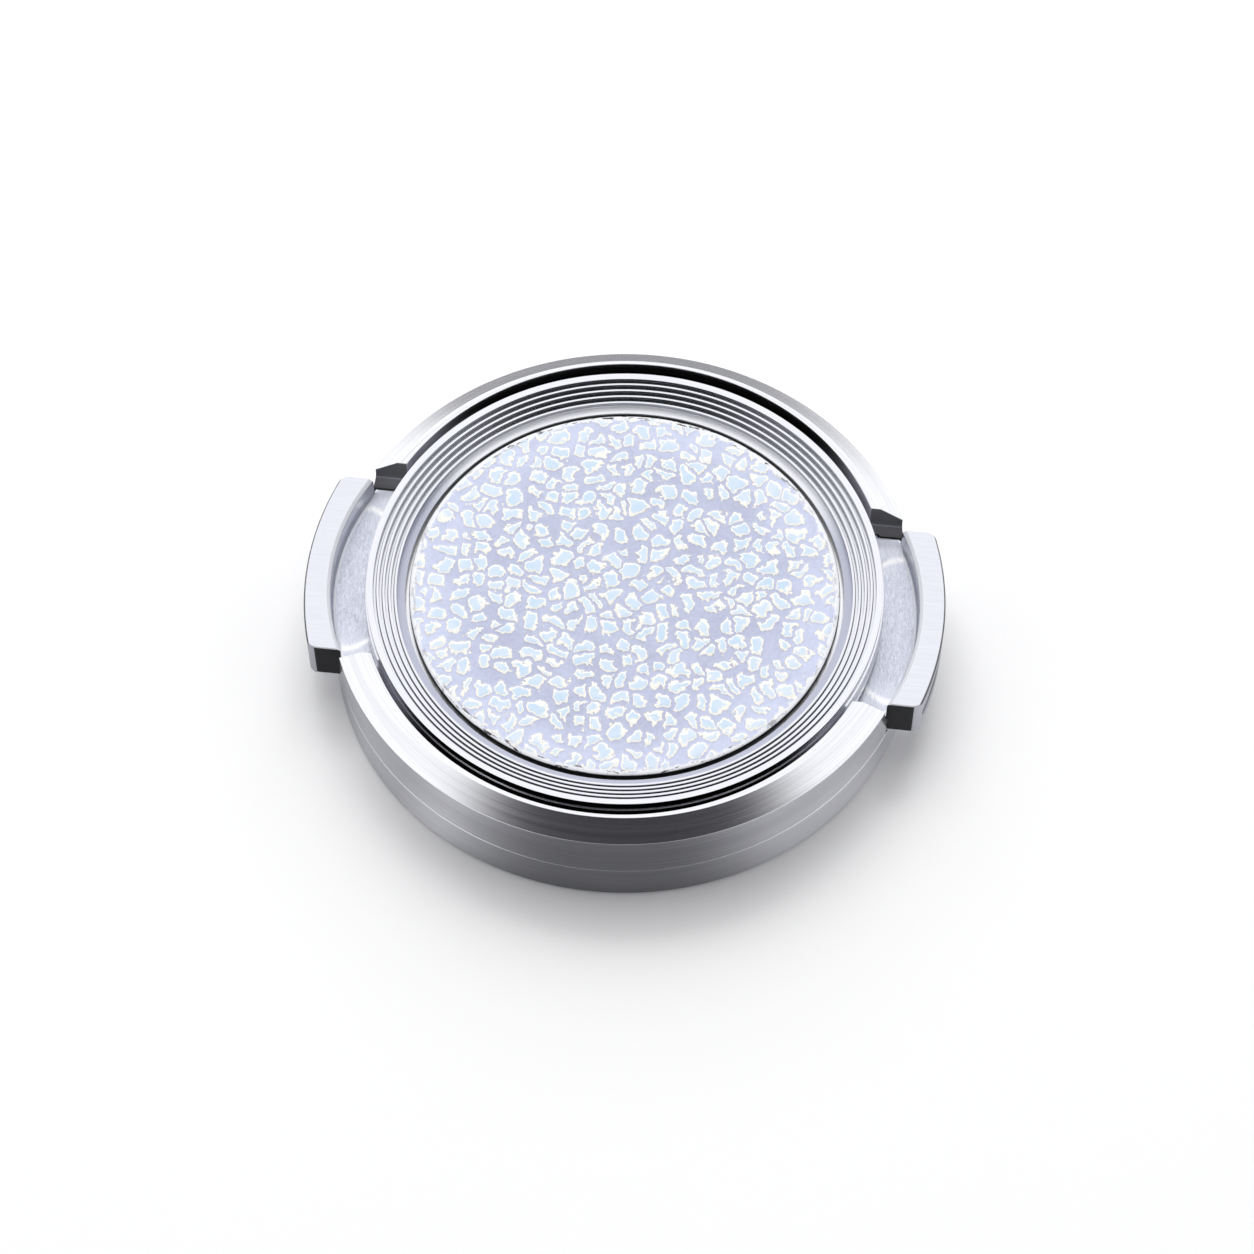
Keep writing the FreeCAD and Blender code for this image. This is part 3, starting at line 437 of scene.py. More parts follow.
inner_blocks = []
for sign in (1, -1):
    near, far = sorted((sign * rail_near, sign * rail_far))
    inner_blocks.append(block_mesh((-rail_end, near, plate_seat), (rail_end, far, web_under)))
    pin = sign * pin_offset
    inner_blocks.append(block_mesh((-abutment_half_x, pin - abutment_half_y, plate_seat),
                                   (abutment_half_x, pin + abutment_half_y, web_under)))
housing = new_piece("bezel_housing", joined(walls + [spigot, web] + inner_blocks),
                    housing_metal, cut_metal, blackened)
edge_rounds(housing, 0.05, slot=0, over=50)
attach(housing, "cap")
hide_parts("front_housing")

# Stepped ring: a polished aluminium ring glued on the web by its flange. Its grooves step down from a flat
# band to the centre disc, so it looks like the front of a lens. The corners at the bottom of the grooves
# are painted dark, as painted shade.
ring_sizes = {
    "Columns": 384,
    "Grooves": 4,
    "Outer radius": 23.66 * MM,
    "Flange": 0.15 * MM,
    "Flange drop": 0.83 * MM,
    "Flange fall": 0.11 * MM,
    "Bore radius": 20.19 * MM,
    "Seat height": web_top * MM,
    "Top height": 10.34 * MM,
    "Band width": 0.59 * MM,
    "Band drop": 0.1 * MM,
    "Pitch": 0.53 * MM,
    "Groove width": 0.31 * MM,
    "Groove depth": 0.26 * MM,
    "Step drop": 0.24 * MM,
    "Ledge drop": 0.66 * MM,
}

def node_piece(name, sizes, rule, material, blank=None):
    """Piece made by a Geometry Nodes tree with these named inputs. The rule gives its geometry."""
    tree = bpy.data.node_groups.new(f"{name}_rule", "GeometryNodeTree")
    tree.interface.new_socket("Geometry", in_out="INPUT", socket_type="NodeSocketGeometry")
    tree.interface.new_socket("Geometry", in_out="OUTPUT", socket_type="NodeSocketGeometry")
    keys = {}
    for label, value in sizes.items():
        kind = "NodeSocketInt" if isinstance(value, int) else "NodeSocketFloat"
        keys[label] = tree.interface.new_socket(label, in_out="INPUT", socket_type=kind).identifier
    source = tree.nodes.new("NodeGroupInput")
    shape = rule(Field(tree), {output.name: Field(tree, output) for output in source.outputs})
    shape = shape.node("GeometryNodeRealizeInstances", None, {0: shape})
    shape = shape.node("GeometryNodeSetMaterial", None, {0: shape, "Material": material})
    shape.node("NodeGroupOutput", None, {0: shape})
    piece = in_scene(name, blank or bpy.data.meshes.new(name))
    modifier = piece.modifiers.new("rule", "NODES")
    modifier.node_group = tree
    for label, value in sizes.items():
        modifier[keys[label]] = value
    made_flat(piece)
    return piece

def stepped_turning(at, size):
    """A grid whose columns go round the axis and whose rows follow the ring's section: the bore's foot,
    the flange, the band, four rows for each groove, the edge of the last crest and the ledge."""
    first_groove = 5
    groove_rows = 4
    edge_row = size["Grooves"] * groove_rows + first_groove
    rows = edge_row + 4
    sheet = at.node("GeometryNodeMeshGrid", None, {
        "Size X": 1.0, "Size Y": 1.0, "Vertices X": size["Columns"] + 1, "Vertices Y": rows})
    x = at.node("ShaderNodeSeparateXYZ", None, {0: at.node("GeometryNodeInputPosition")})
    turn = (x + 0.5) * FULL_TURN
    row = ((x.other("Y") + 0.5) * (rows - 1)).math("ROUND")

    def on_rows(first, last):
        """1 on these rows of the section and 0 on the others."""
        return (row > first - 0.5) * (row < last + 0.5)

    step = ((row - first_groove) / groove_rows).math("FLOOR")
    corner = row - first_groove - step * groove_rows
    stepped = on_rows(first_groove, edge_row)
    outside = on_rows(1, 4)
    ledge_foot = on_rows(edge_row + 1, edge_row + 1)
    ledge_edge = on_rows(edge_row + 2, edge_row + 2)
    band_inner = size["Outer radius"] - size["Band width"]
    crest = size["Top height"] - size["Band drop"]
    groove_radius = band_inner - step * size["Pitch"] - (corner > 1.5) * size["Groove width"]
    sunk = (corner > 0.5) * size["Step drop"] + (corner > 0.5) * (corner < 2.5) * size["Groove depth"]
    groove_height = crest - step * size["Step drop"] - sunk
    ledge_radius = band_inner - size["Grooves"] * size["Pitch"]
    ledge_height = crest - size["Grooves"] * size["Step drop"] - size["Ledge drop"]
    radius = (stepped * groove_radius + outside * size["Outer radius"] + on_rows(1, 2) * size["Flange"]
              + ledge_foot * ledge_radius
              + (1 - stepped) * (1 - outside) * (1 - ledge_foot) * size["Bore radius"])
    seated = (row < 1.5) + (row > edge_row + 2.5)
    height = (stepped * groove_height + seated * size["Seat height"]
              + on_rows(2, 4) * size["Top height"]
              - on_rows(2, 3) * size["Flange drop"]
              - on_rows(2, 2) * size["Flange fall"]
              + (ledge_foot + ledge_edge) * ledge_height)
    spot = at.node("ShaderNodeCombineXYZ", None, {
        "X": radius * turn.math("COSINE"), "Y": radius * turn.math("SINE"), "Z": height})
    turned = at.node("GeometryNodeSetPosition", None, {"Geometry": sheet, "Position": spot})
    return at.node("GeometryNodeMergeByDistance", None, {"Geometry": turned, "Distance": 0.0005 * MM})

def polished_steps(at):
    """Polished crests and groove bottoms with painted shade in their corners, groove walls with painted shade
    at their foot, and a satin ledge, painted lighter towards the back, with painted shade on the bore wall
    below it. The outer wall is dark, and pale towards the windows, where light falls into the moat."""
    x, y, z = place(at)
    radius = off_axis(x, y)
    marks = turning_marks(at, 9000.0, 3.0)
    normal = at.node("ShaderNodeSeparateXYZ", None, {0: at.node("ShaderNodeNewGeometry", out="True Normal")})
    upright = 1 - normal.other("Z").math("ABSOLUTE").ease(0.2, 0.6)
    pitch = ring_sizes["Pitch"]
    outer_radius = ring_sizes["Outer radius"]
    groove_share = ring_sizes["Groove width"] / pitch
    band_inner = outer_radius - ring_sizes["Band width"]
    ledge_outer = band_inner - ring_sizes["Grooves"] * pitch
    crest = ring_sizes["Top height"] - ring_sizes["Band drop"]
    ledge_height = crest - ring_sizes["Grooves"] * ring_sizes["Step drop"] - ring_sizes["Ledge drop"]
    dark = (0.02, 0.02, 0.023, 1)
    phase = ((band_inner - radius) / pitch).math("FRACT")
    bottom = (phase < groove_share) * (radius < band_inner)
    # Painted shade: the corners at the bottom of the grooves are dark.
    corner = bottom * (phase > 0.72 * groove_share)
    crests = marks.tint((0.66, 0.67, 0.71, 1), (0.78, 0.785, 0.82, 1))
    level = corner.tint(bottom.tint(crests, (0.68, 0.69, 0.73, 1)), (0.2, 0.204, 0.22, 1))
    groove = ((band_inner - radius) / pitch + 0.05).math("FLOOR")
    bottom_height = crest - (groove + 1) * ring_sizes["Step drop"] - ring_sizes["Groove depth"]
    # Painted shade: the foot of each groove wall is dark.
    painted_foot_shade = 1 - (z - bottom_height).ease(0.1 * MM, 0.22 * MM)
    outer_wall = radius > outer_radius - 0.05 * MM
    wall = painted_foot_shade.math("MAXIMUM", outer_wall).tint((0.4, 0.41, 0.44, 1), dark)
    below_band = z < ring_sizes["Top height"] - 0.22 * MM
    pale_wall = x.math("ABSOLUTE").ease(16.0 * MM, 20.0 * MM) * outer_wall * upright * below_band
    wall = pale_wall.tint(wall, (0.75, 0.75, 0.85, 1))
    low = 1 - z.ease(ledge_height + 0.23 * MM, ledge_height + 0.33 * MM)
    satin = (radius < ledge_outer + 0.03 * MM) * low
    ledge = marks.tint((0.47, 0.49, 0.6, 1), (0.52, 0.54, 0.65, 1))
    # Painted light: the ledge is lighter towards the back.
    ledge = y.ease(6.0 * MM, 14.0 * MM).tint(ledge, (0.95, 0.96, 1.0, 1))
    # Painted shade: the bore wall below the ledge is dark, in the narrow gap to the disc.
    ledge = z.ease(ledge_height - 0.32 * MM, ledge_height - 0.07 * MM).tint(dark, ledge)
    return {
        "Base Color": satin.tint(upright.tint(level, wall), ledge),
        "Metallic": 1 - satin.math("MAXIMUM", pale_wall),
        "Roughness": 0.14 + 0.1 * marks + 0.08 * upright,
        "Normal": bumped(marks, 0.2, 0.008 * MM),
    }

def outward(piece):
    """Merge doubles and point the faces of a closed mesh outwards."""
    solid = bmesh.new()
    solid.from_mesh(piece.data)
    bmesh.ops.remove_doubles(solid, verts=solid.verts[:], dist=0.0003 * MM)
    bmesh.ops.recalc_face_normals(solid, faces=solid.faces[:])
    solid.to_mesh(piece.data)
    solid.free()

ring_polished = finish("ring_polished", polished_steps)
ring = node_piece("stepped_ring_turned", ring_sizes, stepped_turning, ring_polished)
outward(ring)
shaded(ring.data)
edge_rounds(ring, 0.025)
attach(ring, "cap")
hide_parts("stepped_ring")

# Centre disc: a moulded insert glued inside the ring, with a common pebble grain. Raised pale-blue cells
# with cream edges stand on a lavender ground, and the rim is worn white with small dark nicks.
disc_radius = 19.83
disc_top = 8.8
disc_bevel = 0.3
disc_bevel_drop = 0.14
grain_sizes = {
    "Cells per metre": 565.0,
    "Disc radius": disc_radius * MM,
    "Edge band": 0.75 * MM,
    "Cell height": 0.07 * MM,
    "Edge width": 0.07,
}

def pebbles(at, spot, per_metre):
    """How deep a point lies inside a grain cell, in cell widths: under 0 on the ground, over 0 on a cell."""
    least_gap = 0.07
    gap_spread = 0.11
    corner_reach = 0.52
    flat = at.node("ShaderNodeVectorMath", {"operation": "MULTIPLY"}, {0: spot, 1: (1.0, 1.0, 0.0)})
    scaled = at.node("ShaderNodeVectorMath", {"operation": "SCALE"}, {0: flat, "Scale": per_metre})
    warped = scaled
    for size, depth in ((0.9, 0.45), (3.2, 0.15), (7.5, 0.06)):
        sway = at.node("ShaderNodeTexNoise", {"noise_dimensions": "2D"},
                       {"Vector": scaled, "Scale": size, "Detail": 1.0}, out="Color")
        centred = at.node("ShaderNodeVectorMath", {"operation": "SUBTRACT"}, {0: sway, 1: (0.5, 0.5, 0.5)})
        pushed = at.node("ShaderNodeVectorMath", {"operation": "SCALE"}, {0: centred, "Scale": 2 * depth})
        warped = at.node("ShaderNodeVectorMath", {"operation": "ADD"}, {0: warped, 1: pushed})
    cells = {"Vector": warped, "Scale": 1.0, "Randomness": 0.86}
    wall = at.node("ShaderNodeTexVoronoi", {"voronoi_dimensions": "2D", "feature": "DISTANCE_TO_EDGE"}, cells)
    pick = at.node("ShaderNodeTexVoronoi", {"voronoi_dimensions": "2D", "feature": "F1"}, cells, out="Color")
    chance = at.node("ShaderNodeSeparateXYZ", None, {0: pick})
    blunt_corner = (corner_reach - pick.other("Distance")) * 0.75
    return (wall - least_gap - gap_spread * chance).math("MINIMUM", blunt_corner)

def pebble_relief(at, size):
    """Raise the cells of the disc's top, apart from a plain band at its edge."""
    spot = at.node("GeometryNodeInputPosition")
    depth = pebbles(at, spot, size["Cells per metre"])
    x = at.node("ShaderNodeSeparateXYZ", None, {0: spot})
    band_start = size["Disc radius"] - size["Edge band"]
    inside = 1 - off_axis(x, x.other("Y")).ease(band_start, band_start + size["Edge band"] * 0.5)
    upper = x.other("Z") > (disc_top - 0.01) * MM
    rise = depth.ease(-0.02, size["Edge width"]) * size["Cell height"] * inside * upper
    lift = at.node("ShaderNodeCombineXYZ", None, {"Z": rise})
    return at.node("GeometryNodeSetPosition", None, {"Geometry": size["Geometry"], "Offset": lift})

def pebble_paint(at):
    """Colours of the grain by the same cells as the relief. The disc's edge below its bevel is black, as
    painted shade.
    """
    spot = at.node("ShaderNodeTexCoord", out="Object")
    depth = pebbles(at, spot, grain_sizes["Cells per metre"])
    x, y, z = place(at)
    radius = off_axis(x, y)
    outer = radius.ease(14.0 * MM, 19.0 * MM)
    patches = grains(at, 260.0).ease(0.3, 0.7)
    specks = grains(at, 2600.0).ease(0.3, 0.7)
    clouds = 0.3 * patches + 0.25 * specks + 0.45 * outer
    ground = clouds.tint((0.45, 0.477, 0.63, 1), (0.67, 0.72, 0.91, 1))
    pale = 0.6 * grains(at, 420.0).ease(0.3, 0.7) + 0.4 * outer
    heart = pale.tint((0.57, 0.72, 0.87, 1), (0.74, 0.82, 0.92, 1))
    cream = (0.97, 0.945, 0.87, 1)
    on_cell = depth.ease(-0.012, 0.02)
    in_heart = depth.ease(0.07, 0.15)
    grain = on_cell.tint(ground, in_heart.tint(cream, heart))
    outline = (1 - (depth + 0.01).math("ABSOLUTE").ease(0.0, 0.022)) * grains(at, 1500.0).ease(0.35, 0.6)
    grain = (outline * 0.55).tint(grain, (0.5, 0.42, 0.36, 1))
    ragged = radius + (grains(at, 900.0, 4.0) - 0.5) * 1.6 * MM
    wear_and_painted_light = ragged.ease((disc_radius - 0.65) * MM, (disc_radius - 0.3) * MM)
    grain = wear_and_painted_light.tint(grain, (0.9, 0.91, 0.94, 1))
    at_rim = radius.ease((disc_radius - 0.73) * MM, (disc_radius - 0.43) * MM)
    front_and_back = (y.math("ABSOLUTE") / radius).ease(0.5, 0.85)
    nicks = turning_marks(at, 3200.0, 16.0).ease(0.55, 0.6) * at_rim * (0.3 + 0.7 * front_and_back)
    grain = nicks.tint(grain, (0.06, 0.055, 0.06, 1))
    # Painted shade: the disc's edge below its bevel is black, in the gap to the ring.
    upper = z.ease((disc_top - 0.13) * MM, (disc_top - 0.06) * MM)
    return {
        "Base Color": upper.tint((0.004, 0.004, 0.004, 1), grain),
        "Roughness": 0.42 - 0.14 * on_cell,
        "Normal": bumped(grains(at, 6000.0), 0.1, 0.01 * MM),
    }

def disc_blank():
    """The plain disc: fine rings on top, and a rounded bevel at the edge."""
    rings = 116
    flat_radius = disc_radius - disc_bevel
    section = [(0, disc_top)]
    section += [(flat_radius * step / rings, disc_top) for step in range(1, rings + 1)]
    section += [(disc_radius - disc_bevel * share, disc_top - disc_bevel_drop * (1 - share) ** 2)
                for share in (0.6, 0.25, 0.08)]
    section += [(disc_radius, disc_top - 0.2), (disc_radius, web_top), (0, web_top)]
    return as_mesh("disc_blank", ring_mesh(section, columns=640))

disc_grain = finish("disc_grain", pebble_paint)
disc = node_piece("centre_disc_grained", grain_sizes, pebble_relief, disc_grain, disc_blank())
shaded(disc.data, sharp=50)
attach(disc, "cap")
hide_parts("centre_disc")

# Guide pins: two drawn steel rods along X, fixed in the housing's abutments. The latches slide on them.
# They are hidden inside, so the CAD rods themselves stay, with a drawn finish.
def drawn_steel(at):
    drawn = at.node("ShaderNodeMapping", None, {
        "Vector": at.node("ShaderNodeTexCoord", out="Object"), "Scale": (400.0, 9000.0, 9000.0)})
    streaks = at.node("ShaderNodeTexNoise", None, {"Vector": drawn, "Scale": 1.0, "Detail": 2.0})
    return {
        "Base Color": streaks.tint((0.45, 0.45, 0.46, 1), (0.66, 0.66, 0.67, 1)),
        "Metallic": 1.0,
        "Roughness": 0.22 + 0.2 * streaks,
    }

steel = finish("screw_steel", drawn_steel)
for pin in ("front_guide_pin", "back_guide_pin"):
    for material_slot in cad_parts[pin].material_slots:
        material_slot.material = steel

# Springs: four coils of drawn wire, one on each end of each guide pin. They push the latches outwards
# from the abutment, and shorten as a tab is pressed.
spring_start = 1.28
spring_end = 9.97
wire_room = 0.12
pin_height = 6.1
spring_sizes = {
    "Turns": 6.0,
    "Coil radius": 0.68 * MM,
    "Wire radius": 0.11 * MM,
    "Length": (spring_end - spring_start - 2 * wire_room) * MM,
}

def wound_wire(at, size):
    """A coil of wire along Z."""
    coil = at.node("GeometryNodeCurveSpiral", None, {
        "Resolution": 40, "Rotations": size["Turns"], "Start Radius": size["Coil radius"],
        "End Radius": size["Coil radius"], "Height": size["Length"]})
    wire = at.node("GeometryNodeCurvePrimitiveCircle", None,
                   {"Resolution": 10, "Radius": size["Wire radius"]})
    return at.node("GeometryNodeCurveToMesh", None, {"Curve": coil, "Profile Curve": wire, "Fill Caps": True})

def spring_wire(at):
    streaks = grains(at, 7000.0)
    return {
        "Base Color": streaks.tint((0.4, 0.4, 0.41, 1), (0.62, 0.62, 0.63, 1)),
        "Metallic": 1.0,
        "Roughness": 0.25 + 0.15 * streaks,
    }

spring_finish = finish("spring_steel", spring_wire)
for side, x_sign in (("right", 1), ("left", -1)):
    for row, y_sign in (("front", -1), ("back", 1)):
        spring = node_piece(f"{side}_{row}_coil", spring_sizes, wound_wire, spring_finish)
        for vert in spring.data.vertices:
            across, up, along = vert.co
            vert.co = (x_sign * ((spring_start + wire_room) * MM + along),
                       y_sign * pin_offset * MM + x_sign * across,
                       pin_height * MM + up)
        outward(spring)
        shaded(spring.data, sharp=60)
        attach(spring, "cap")
        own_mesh(spring)
        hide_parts(f"{side}_{row}_spring")

# Latches: finger tab, scooped floor and slide plate, milled from one piece of aluminium. The tab is brushed,
# the floor is bead-blasted, the sawn ends of the tab are blackened, and a flute in its outer face takes
# the finger.
tab_inner_radius = 27.15
tab_inner_round = 21.5
tab_axis = tab_inner_radius - tab_inner_round
tab_outer_radius = 29.5
tab_half_length = 9.52
tab_top = 8.85
tab_bottom = 4.35
tab_corner = 0.7
tab_inner_bevel = 0.35
tab_outer_bevel = 0.15
floor_height = 6.35
foot_cove = 0.4
slide_inner = 10.0
slide_bottom = 5.3
slide_top = 6.9
shoulder_radius = 24.75
lug_half = 12.6
neck_half = 9.8
scoop_start = 20.98
scoop_flat = 7.5
scoop_end = 2.45
scoop_depth = 0.55
flute_height = 6.5
flute_radius = 1.4
flute_depth = 0.3
flute_half_angle = math.radians(15.5)

def inner_face(radius):
    """Whether a point of the tab's section belongs to its inner face, which has an arc of its own."""
    return radius < tab_inner_radius + tab_inner_bevel + 0.15

def tab_span(radius, height):
    """End faces parallel to X, with the outer corners rounded in plan."""
    if inner_face(radius):
        arc = radius - tab_axis
        angle = math.atan2(tab_half_length, tab_axis + math.sqrt(arc ** 2 - tab_half_length ** 2))
        return -angle, angle
    past = max(0.0, radius - (tab_outer_radius - tab_corner))
    half = tab_half_length - tab_corner + math.sqrt(max(0.0, tab_corner ** 2 - past ** 2))
    angle = math.asin(half / radius)
    return -angle, angle

def fluted(radius, angle, height):
    """Radius of the tab's faces: the inner ones on their arc, and the flute taken out of the outer one."""
    if inner_face(radius):
        arc = radius - tab_axis
        return tab_axis * math.cos(angle) + math.sqrt(arc ** 2 - (tab_axis * math.sin(angle)) ** 2)
    if radius < tab_outer_radius - 0.01:
        return radius
    past = max(0.0, abs(angle) - flute_half_angle) * tab_outer_radius
    room = flute_radius ** 2 - (height - flute_height) ** 2 - past ** 2
    if room <= 0:
        return radius
    return min(radius, tab_outer_radius + flute_radius - flute_depth - math.sqrt(room))

def brushed_tab(at):
    """Brushed tab with painted highlights on the inner bevel, the foot's cove and the flute, and painted
    shade as dark lines along the top outer edge and round the flute. The blasted floor is painted lighter
    where the scoop rises, with a painted gleam across each end of the scoop."""
    x, y, z = place(at)
    along = y.math("ABSOLUTE")
    radius = off_axis(x, y)
    inner = off_axis(x.math("ABSOLUTE") - tab_axis * MM, y) + tab_axis * MM
    lined = at.node("ShaderNodeCombineXYZ", None, {"X": x * 350.0, "Y": y * 5000.0, "Z": z * 5000.0})
    strokes = at.node("ShaderNodeTexNoise", None, {"Vector": lined, "Scale": 1.0, "Detail": 3.0})
    blast = grains(at, 8000.0)
    swept = at.node("ShaderNodeCombineXYZ", None, {"X": x * 5200.0, "Y": y * 1100.0, "Z": z * 1100.0})
    fibres = at.node("ShaderNodeTexNoise", None, {
        "Vector": swept, "Scale": 1.0, "Detail": 3.0, "Roughness": 0.6, "Distortion": 1.6})
    bright = strokes.tint((0.62, 0.63, 0.68, 1), (0.72, 0.73, 0.78, 1))
    texture = (0.35 * blast + 0.65 * fibres).ease(0.3, 0.72)
    matte = texture.tint((0.45, 0.47, 0.54, 1), (0.74, 0.76, 0.85, 1))
    # Painted light: the floor is lighter where the scoop rises at each end.
    painted_rise_light = along.ease(4.5 * MM, 8.0 * MM) * 0.4
    matte = painted_rise_light.tint(matte, (0.82, 0.84, 0.92, 1))
    floor_middle = 25.4 * MM
    gleam_bend = 210.0
    gleam_place = 7.9 * MM
    gleam_width = 0.6 * MM
    across = x.math("ABSOLUTE") - floor_middle
    bent = along + across * across * gleam_bend
    # Painted highlight: a gleam across each end of the scoop.
    gleam = (1 - (bent - gleam_place).math("ABSOLUTE").ease(0.0, gleam_width)) * fibres.ease(0.1, 0.6)
    matte = gleam.tint(matte, (1.0, 1.0, 1.0, 1))
    wall = tab_inner_radius * MM
    floor = (1 - inner.ease(wall - 0.2 * MM, wall - 0.05 * MM)) * (z > (slide_bottom + 0.1) * MM)
    face = tab_outer_radius * MM
    # Painted shade: dark lines along the top outer edge and round the flute.
    painted_top_shade = radius.ease(face - 0.18 * MM, face - 0.1 * MM) * (z > (tab_top - 0.3) * MM)
    flute_row = (z > (flute_height - 1.3) * MM) * (z < (flute_height + 1.4) * MM) * (along < 8.75 * MM)
    flute_rim = radius.ease(face - 0.17 * MM, face - 0.12 * MM)
    painted_flute_shade = flute_rim * (1 - radius.ease(face - 0.03 * MM, face - 0.005 * MM)) * flute_row
    lines = painted_top_shade + 0.85 * painted_flute_shade
    # Painted highlights: the flute, the inner bevel and the foot's cove are pale.
    flute = (1 - radius.ease(face - 0.2 * MM, face - 0.16 * MM)) * (radius > face - 0.45 * MM) * flute_row
    bevel_end = (tab_inner_radius + tab_inner_bevel) * MM
    bevel = inner.ease(wall - 0.05 * MM, wall + 0.05 * MM)
    bevel = bevel * (1 - inner.ease(bevel_end - 0.02 * MM, bevel_end + 0.02 * MM))
    bevel = bevel * (z > (tab_top - 0.4) * MM)
    cove_start = (tab_inner_radius - foot_cove) * MM
    cove = inner.ease(cove_start - 0.03 * MM, cove_start + 0.05 * MM)
    cove = cove * (1 - inner.ease(wall - 0.15 * MM, wall - 0.05 * MM))
    cove = cove * (z > (floor_height - 0.35) * MM) * (z < (floor_height + 0.35) * MM)
    pale = bevel + cove * 0.6 + flute * 0.8
    metal = lines.tint(floor.tint(bright, matte), (0.1, 0.1, 0.11, 1))
    relief = floor * (0.5 * blast + 0.8 * fibres) + (1 - floor) * strokes * 0.12
    return {
        "Base Color": pale.tint(metal, (0.88, 0.89, 0.93, 1)),
        "Metallic": 1 - pale * 0.85,
        "Roughness": 0.2 + 0.08 * strokes + 0.14 * floor,
        "Normal": bumped(relief, 0.5, 0.03 * MM),
    }

latch_metal = finish("latch_metal", brushed_tab)

def tab_mesh():
    """The finger tab, with a foot that runs into the slide plate."""
    cove_middle = 0.12
    foot_depth = 0.2
    flute_half = 0.9
    flute_steps = 8
    corner_steps = 6
    section = softened([
        (tab_inner_radius, tab_bottom), (tab_outer_radius, tab_bottom),
        (tab_outer_radius, tab_top - tab_outer_bevel), (tab_outer_radius - tab_outer_bevel, tab_top),
        (tab_inner_radius + tab_inner_bevel, tab_top), (tab_inner_radius, tab_top - tab_inner_bevel),
        (tab_inner_radius, floor_height + foot_cove),
        (tab_inner_radius - cove_middle, floor_height + cove_middle),
        (tab_inner_radius - foot_cove, floor_height),
        (tab_inner_radius - foot_cove, floor_height - foot_depth),
        (tab_inner_radius, floor_height - foot_depth),
    ], 2 * edge_round)
    flute_rows = [flute_height + flute_half * step / flute_steps
                  for step in range(-flute_steps, flute_steps + 1)]
    corner_rows = [tab_outer_radius - tab_corner * (1 - math.sin(math.pi / 2 * step / corner_steps))
                   for step in range(corner_steps)]
    return arc_mesh(section, tab_span, columns=128, heights=flute_rows, radii=corner_rows, shift=fluted)

def floor_rise(across):
    """Height of the scooped floor at this distance from the X axis."""
    past = max(0.0, abs(across) - scoop_flat)
    sweep = (scoop_end ** 2 + scoop_depth ** 2) / (2 * scoop_depth)
    return min(slide_top, floor_height + sweep - math.sqrt(sweep ** 2 - past ** 2))

def arc_points(radius, first, last, count):
    """Points of a circle round Z, evenly spaced along Y."""
    rows = [first + (last - first) * step / count for step in range(count + 1)]
    return [(math.sqrt(radius ** 2 - y ** 2), y) for y in rows]

def slide_mesh():
    """The slide plate: its outline, cut where the scoop bends, raised to the floor's height."""
    tucked_radius = tab_inner_radius + 0.3
    tucked_half = 9.3
    scoop_edge = 0.05
    scoop_row = 0.24
    corner = tab_axis + math.sqrt(tab_inner_round ** 2 - neck_half ** 2)
    meeting = tab_axis + math.sqrt(tab_inner_round ** 2 - tab_half_length ** 2)
    outline = [(slide_inner, -lug_half)] + arc_points(shoulder_radius, -lug_half, -neck_half, 6)
    outline += [(corner, -neck_half), (meeting, -tab_half_length)]
    outline += arc_points(tucked_radius, -tucked_half, tucked_half, 24)
    outline += [(meeting, tab_half_length), (corner, neck_half)]
    outline += arc_points(shoulder_radius, neck_half, lug_half, 6) + [(slide_inner, lug_half)]
    flat = bmesh.new()
    flat.faces.new([flat.verts.new((x, y, 0)) for x, y in outline])
    for side in (-1, 1):
        cut_across(flat, Vector((scoop_start + side * scoop_edge, 0, 0)), Vector((1, 0, 0)))
    for step in range(10):
        for side in (1, -1):
            cut_across(flat, Vector((0, side * (scoop_flat - 0.1 + scoop_row * step), 0)), Vector((0, 1, 0)))
    raised = bmesh.ops.extrude_face_region(flat, geom=flat.faces[:])
    for item in raised["geom"]:
        if isinstance(item, bmesh.types.BMVert):
            x, y = item.co.x, item.co.y
            item.co.z = slide_top if x < scoop_start or abs(y) > window_half else floor_rise(y)
    for vert in flat.verts:
        if vert.co.z == 0:
            vert.co.z = slide_bottom
        vert.co *= MM
    bmesh.ops.recalc_face_normals(flat, faces=flat.faces[:])
    return flat

metal_slot = 0
sawn_slot = 1
for side, turned in (("right", False), ("left", True)):
    solid = joined([tab_mesh(), slide_mesh()])
    solid.normal_update()
    for face in solid.faces:
        middle = face.calc_center_median() / MM
        rounded_corner = math.hypot(middle.x, middle.y) > tab_outer_radius - 0.45
        neck_side = abs(face.normal.y) > 0.9 and abs(middle.y) > neck_half - 0.2 and middle.x > 22
        if face.material_index == sawn_slot and rounded_corner:
            face.material_index = metal_slot
        elif neck_side:
            face.material_index = sawn_slot
    latch = new_piece(f"{side}_finger_latch", half_turn(solid) if turned else solid, latch_metal, blackened)
    edge_rounds(latch, 0.05, slot=metal_slot)
    for face in latch.data.polygons:
        middle = face.center / MM
        if abs(middle.y) > tab_half_length - 0.02 and abs(middle.x) > 24.2 and middle.z < slide_top + 0.1:
            face.material_index = sawn_slot
    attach(latch, f"{side}_tab")
    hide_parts(f"{side}_latch")

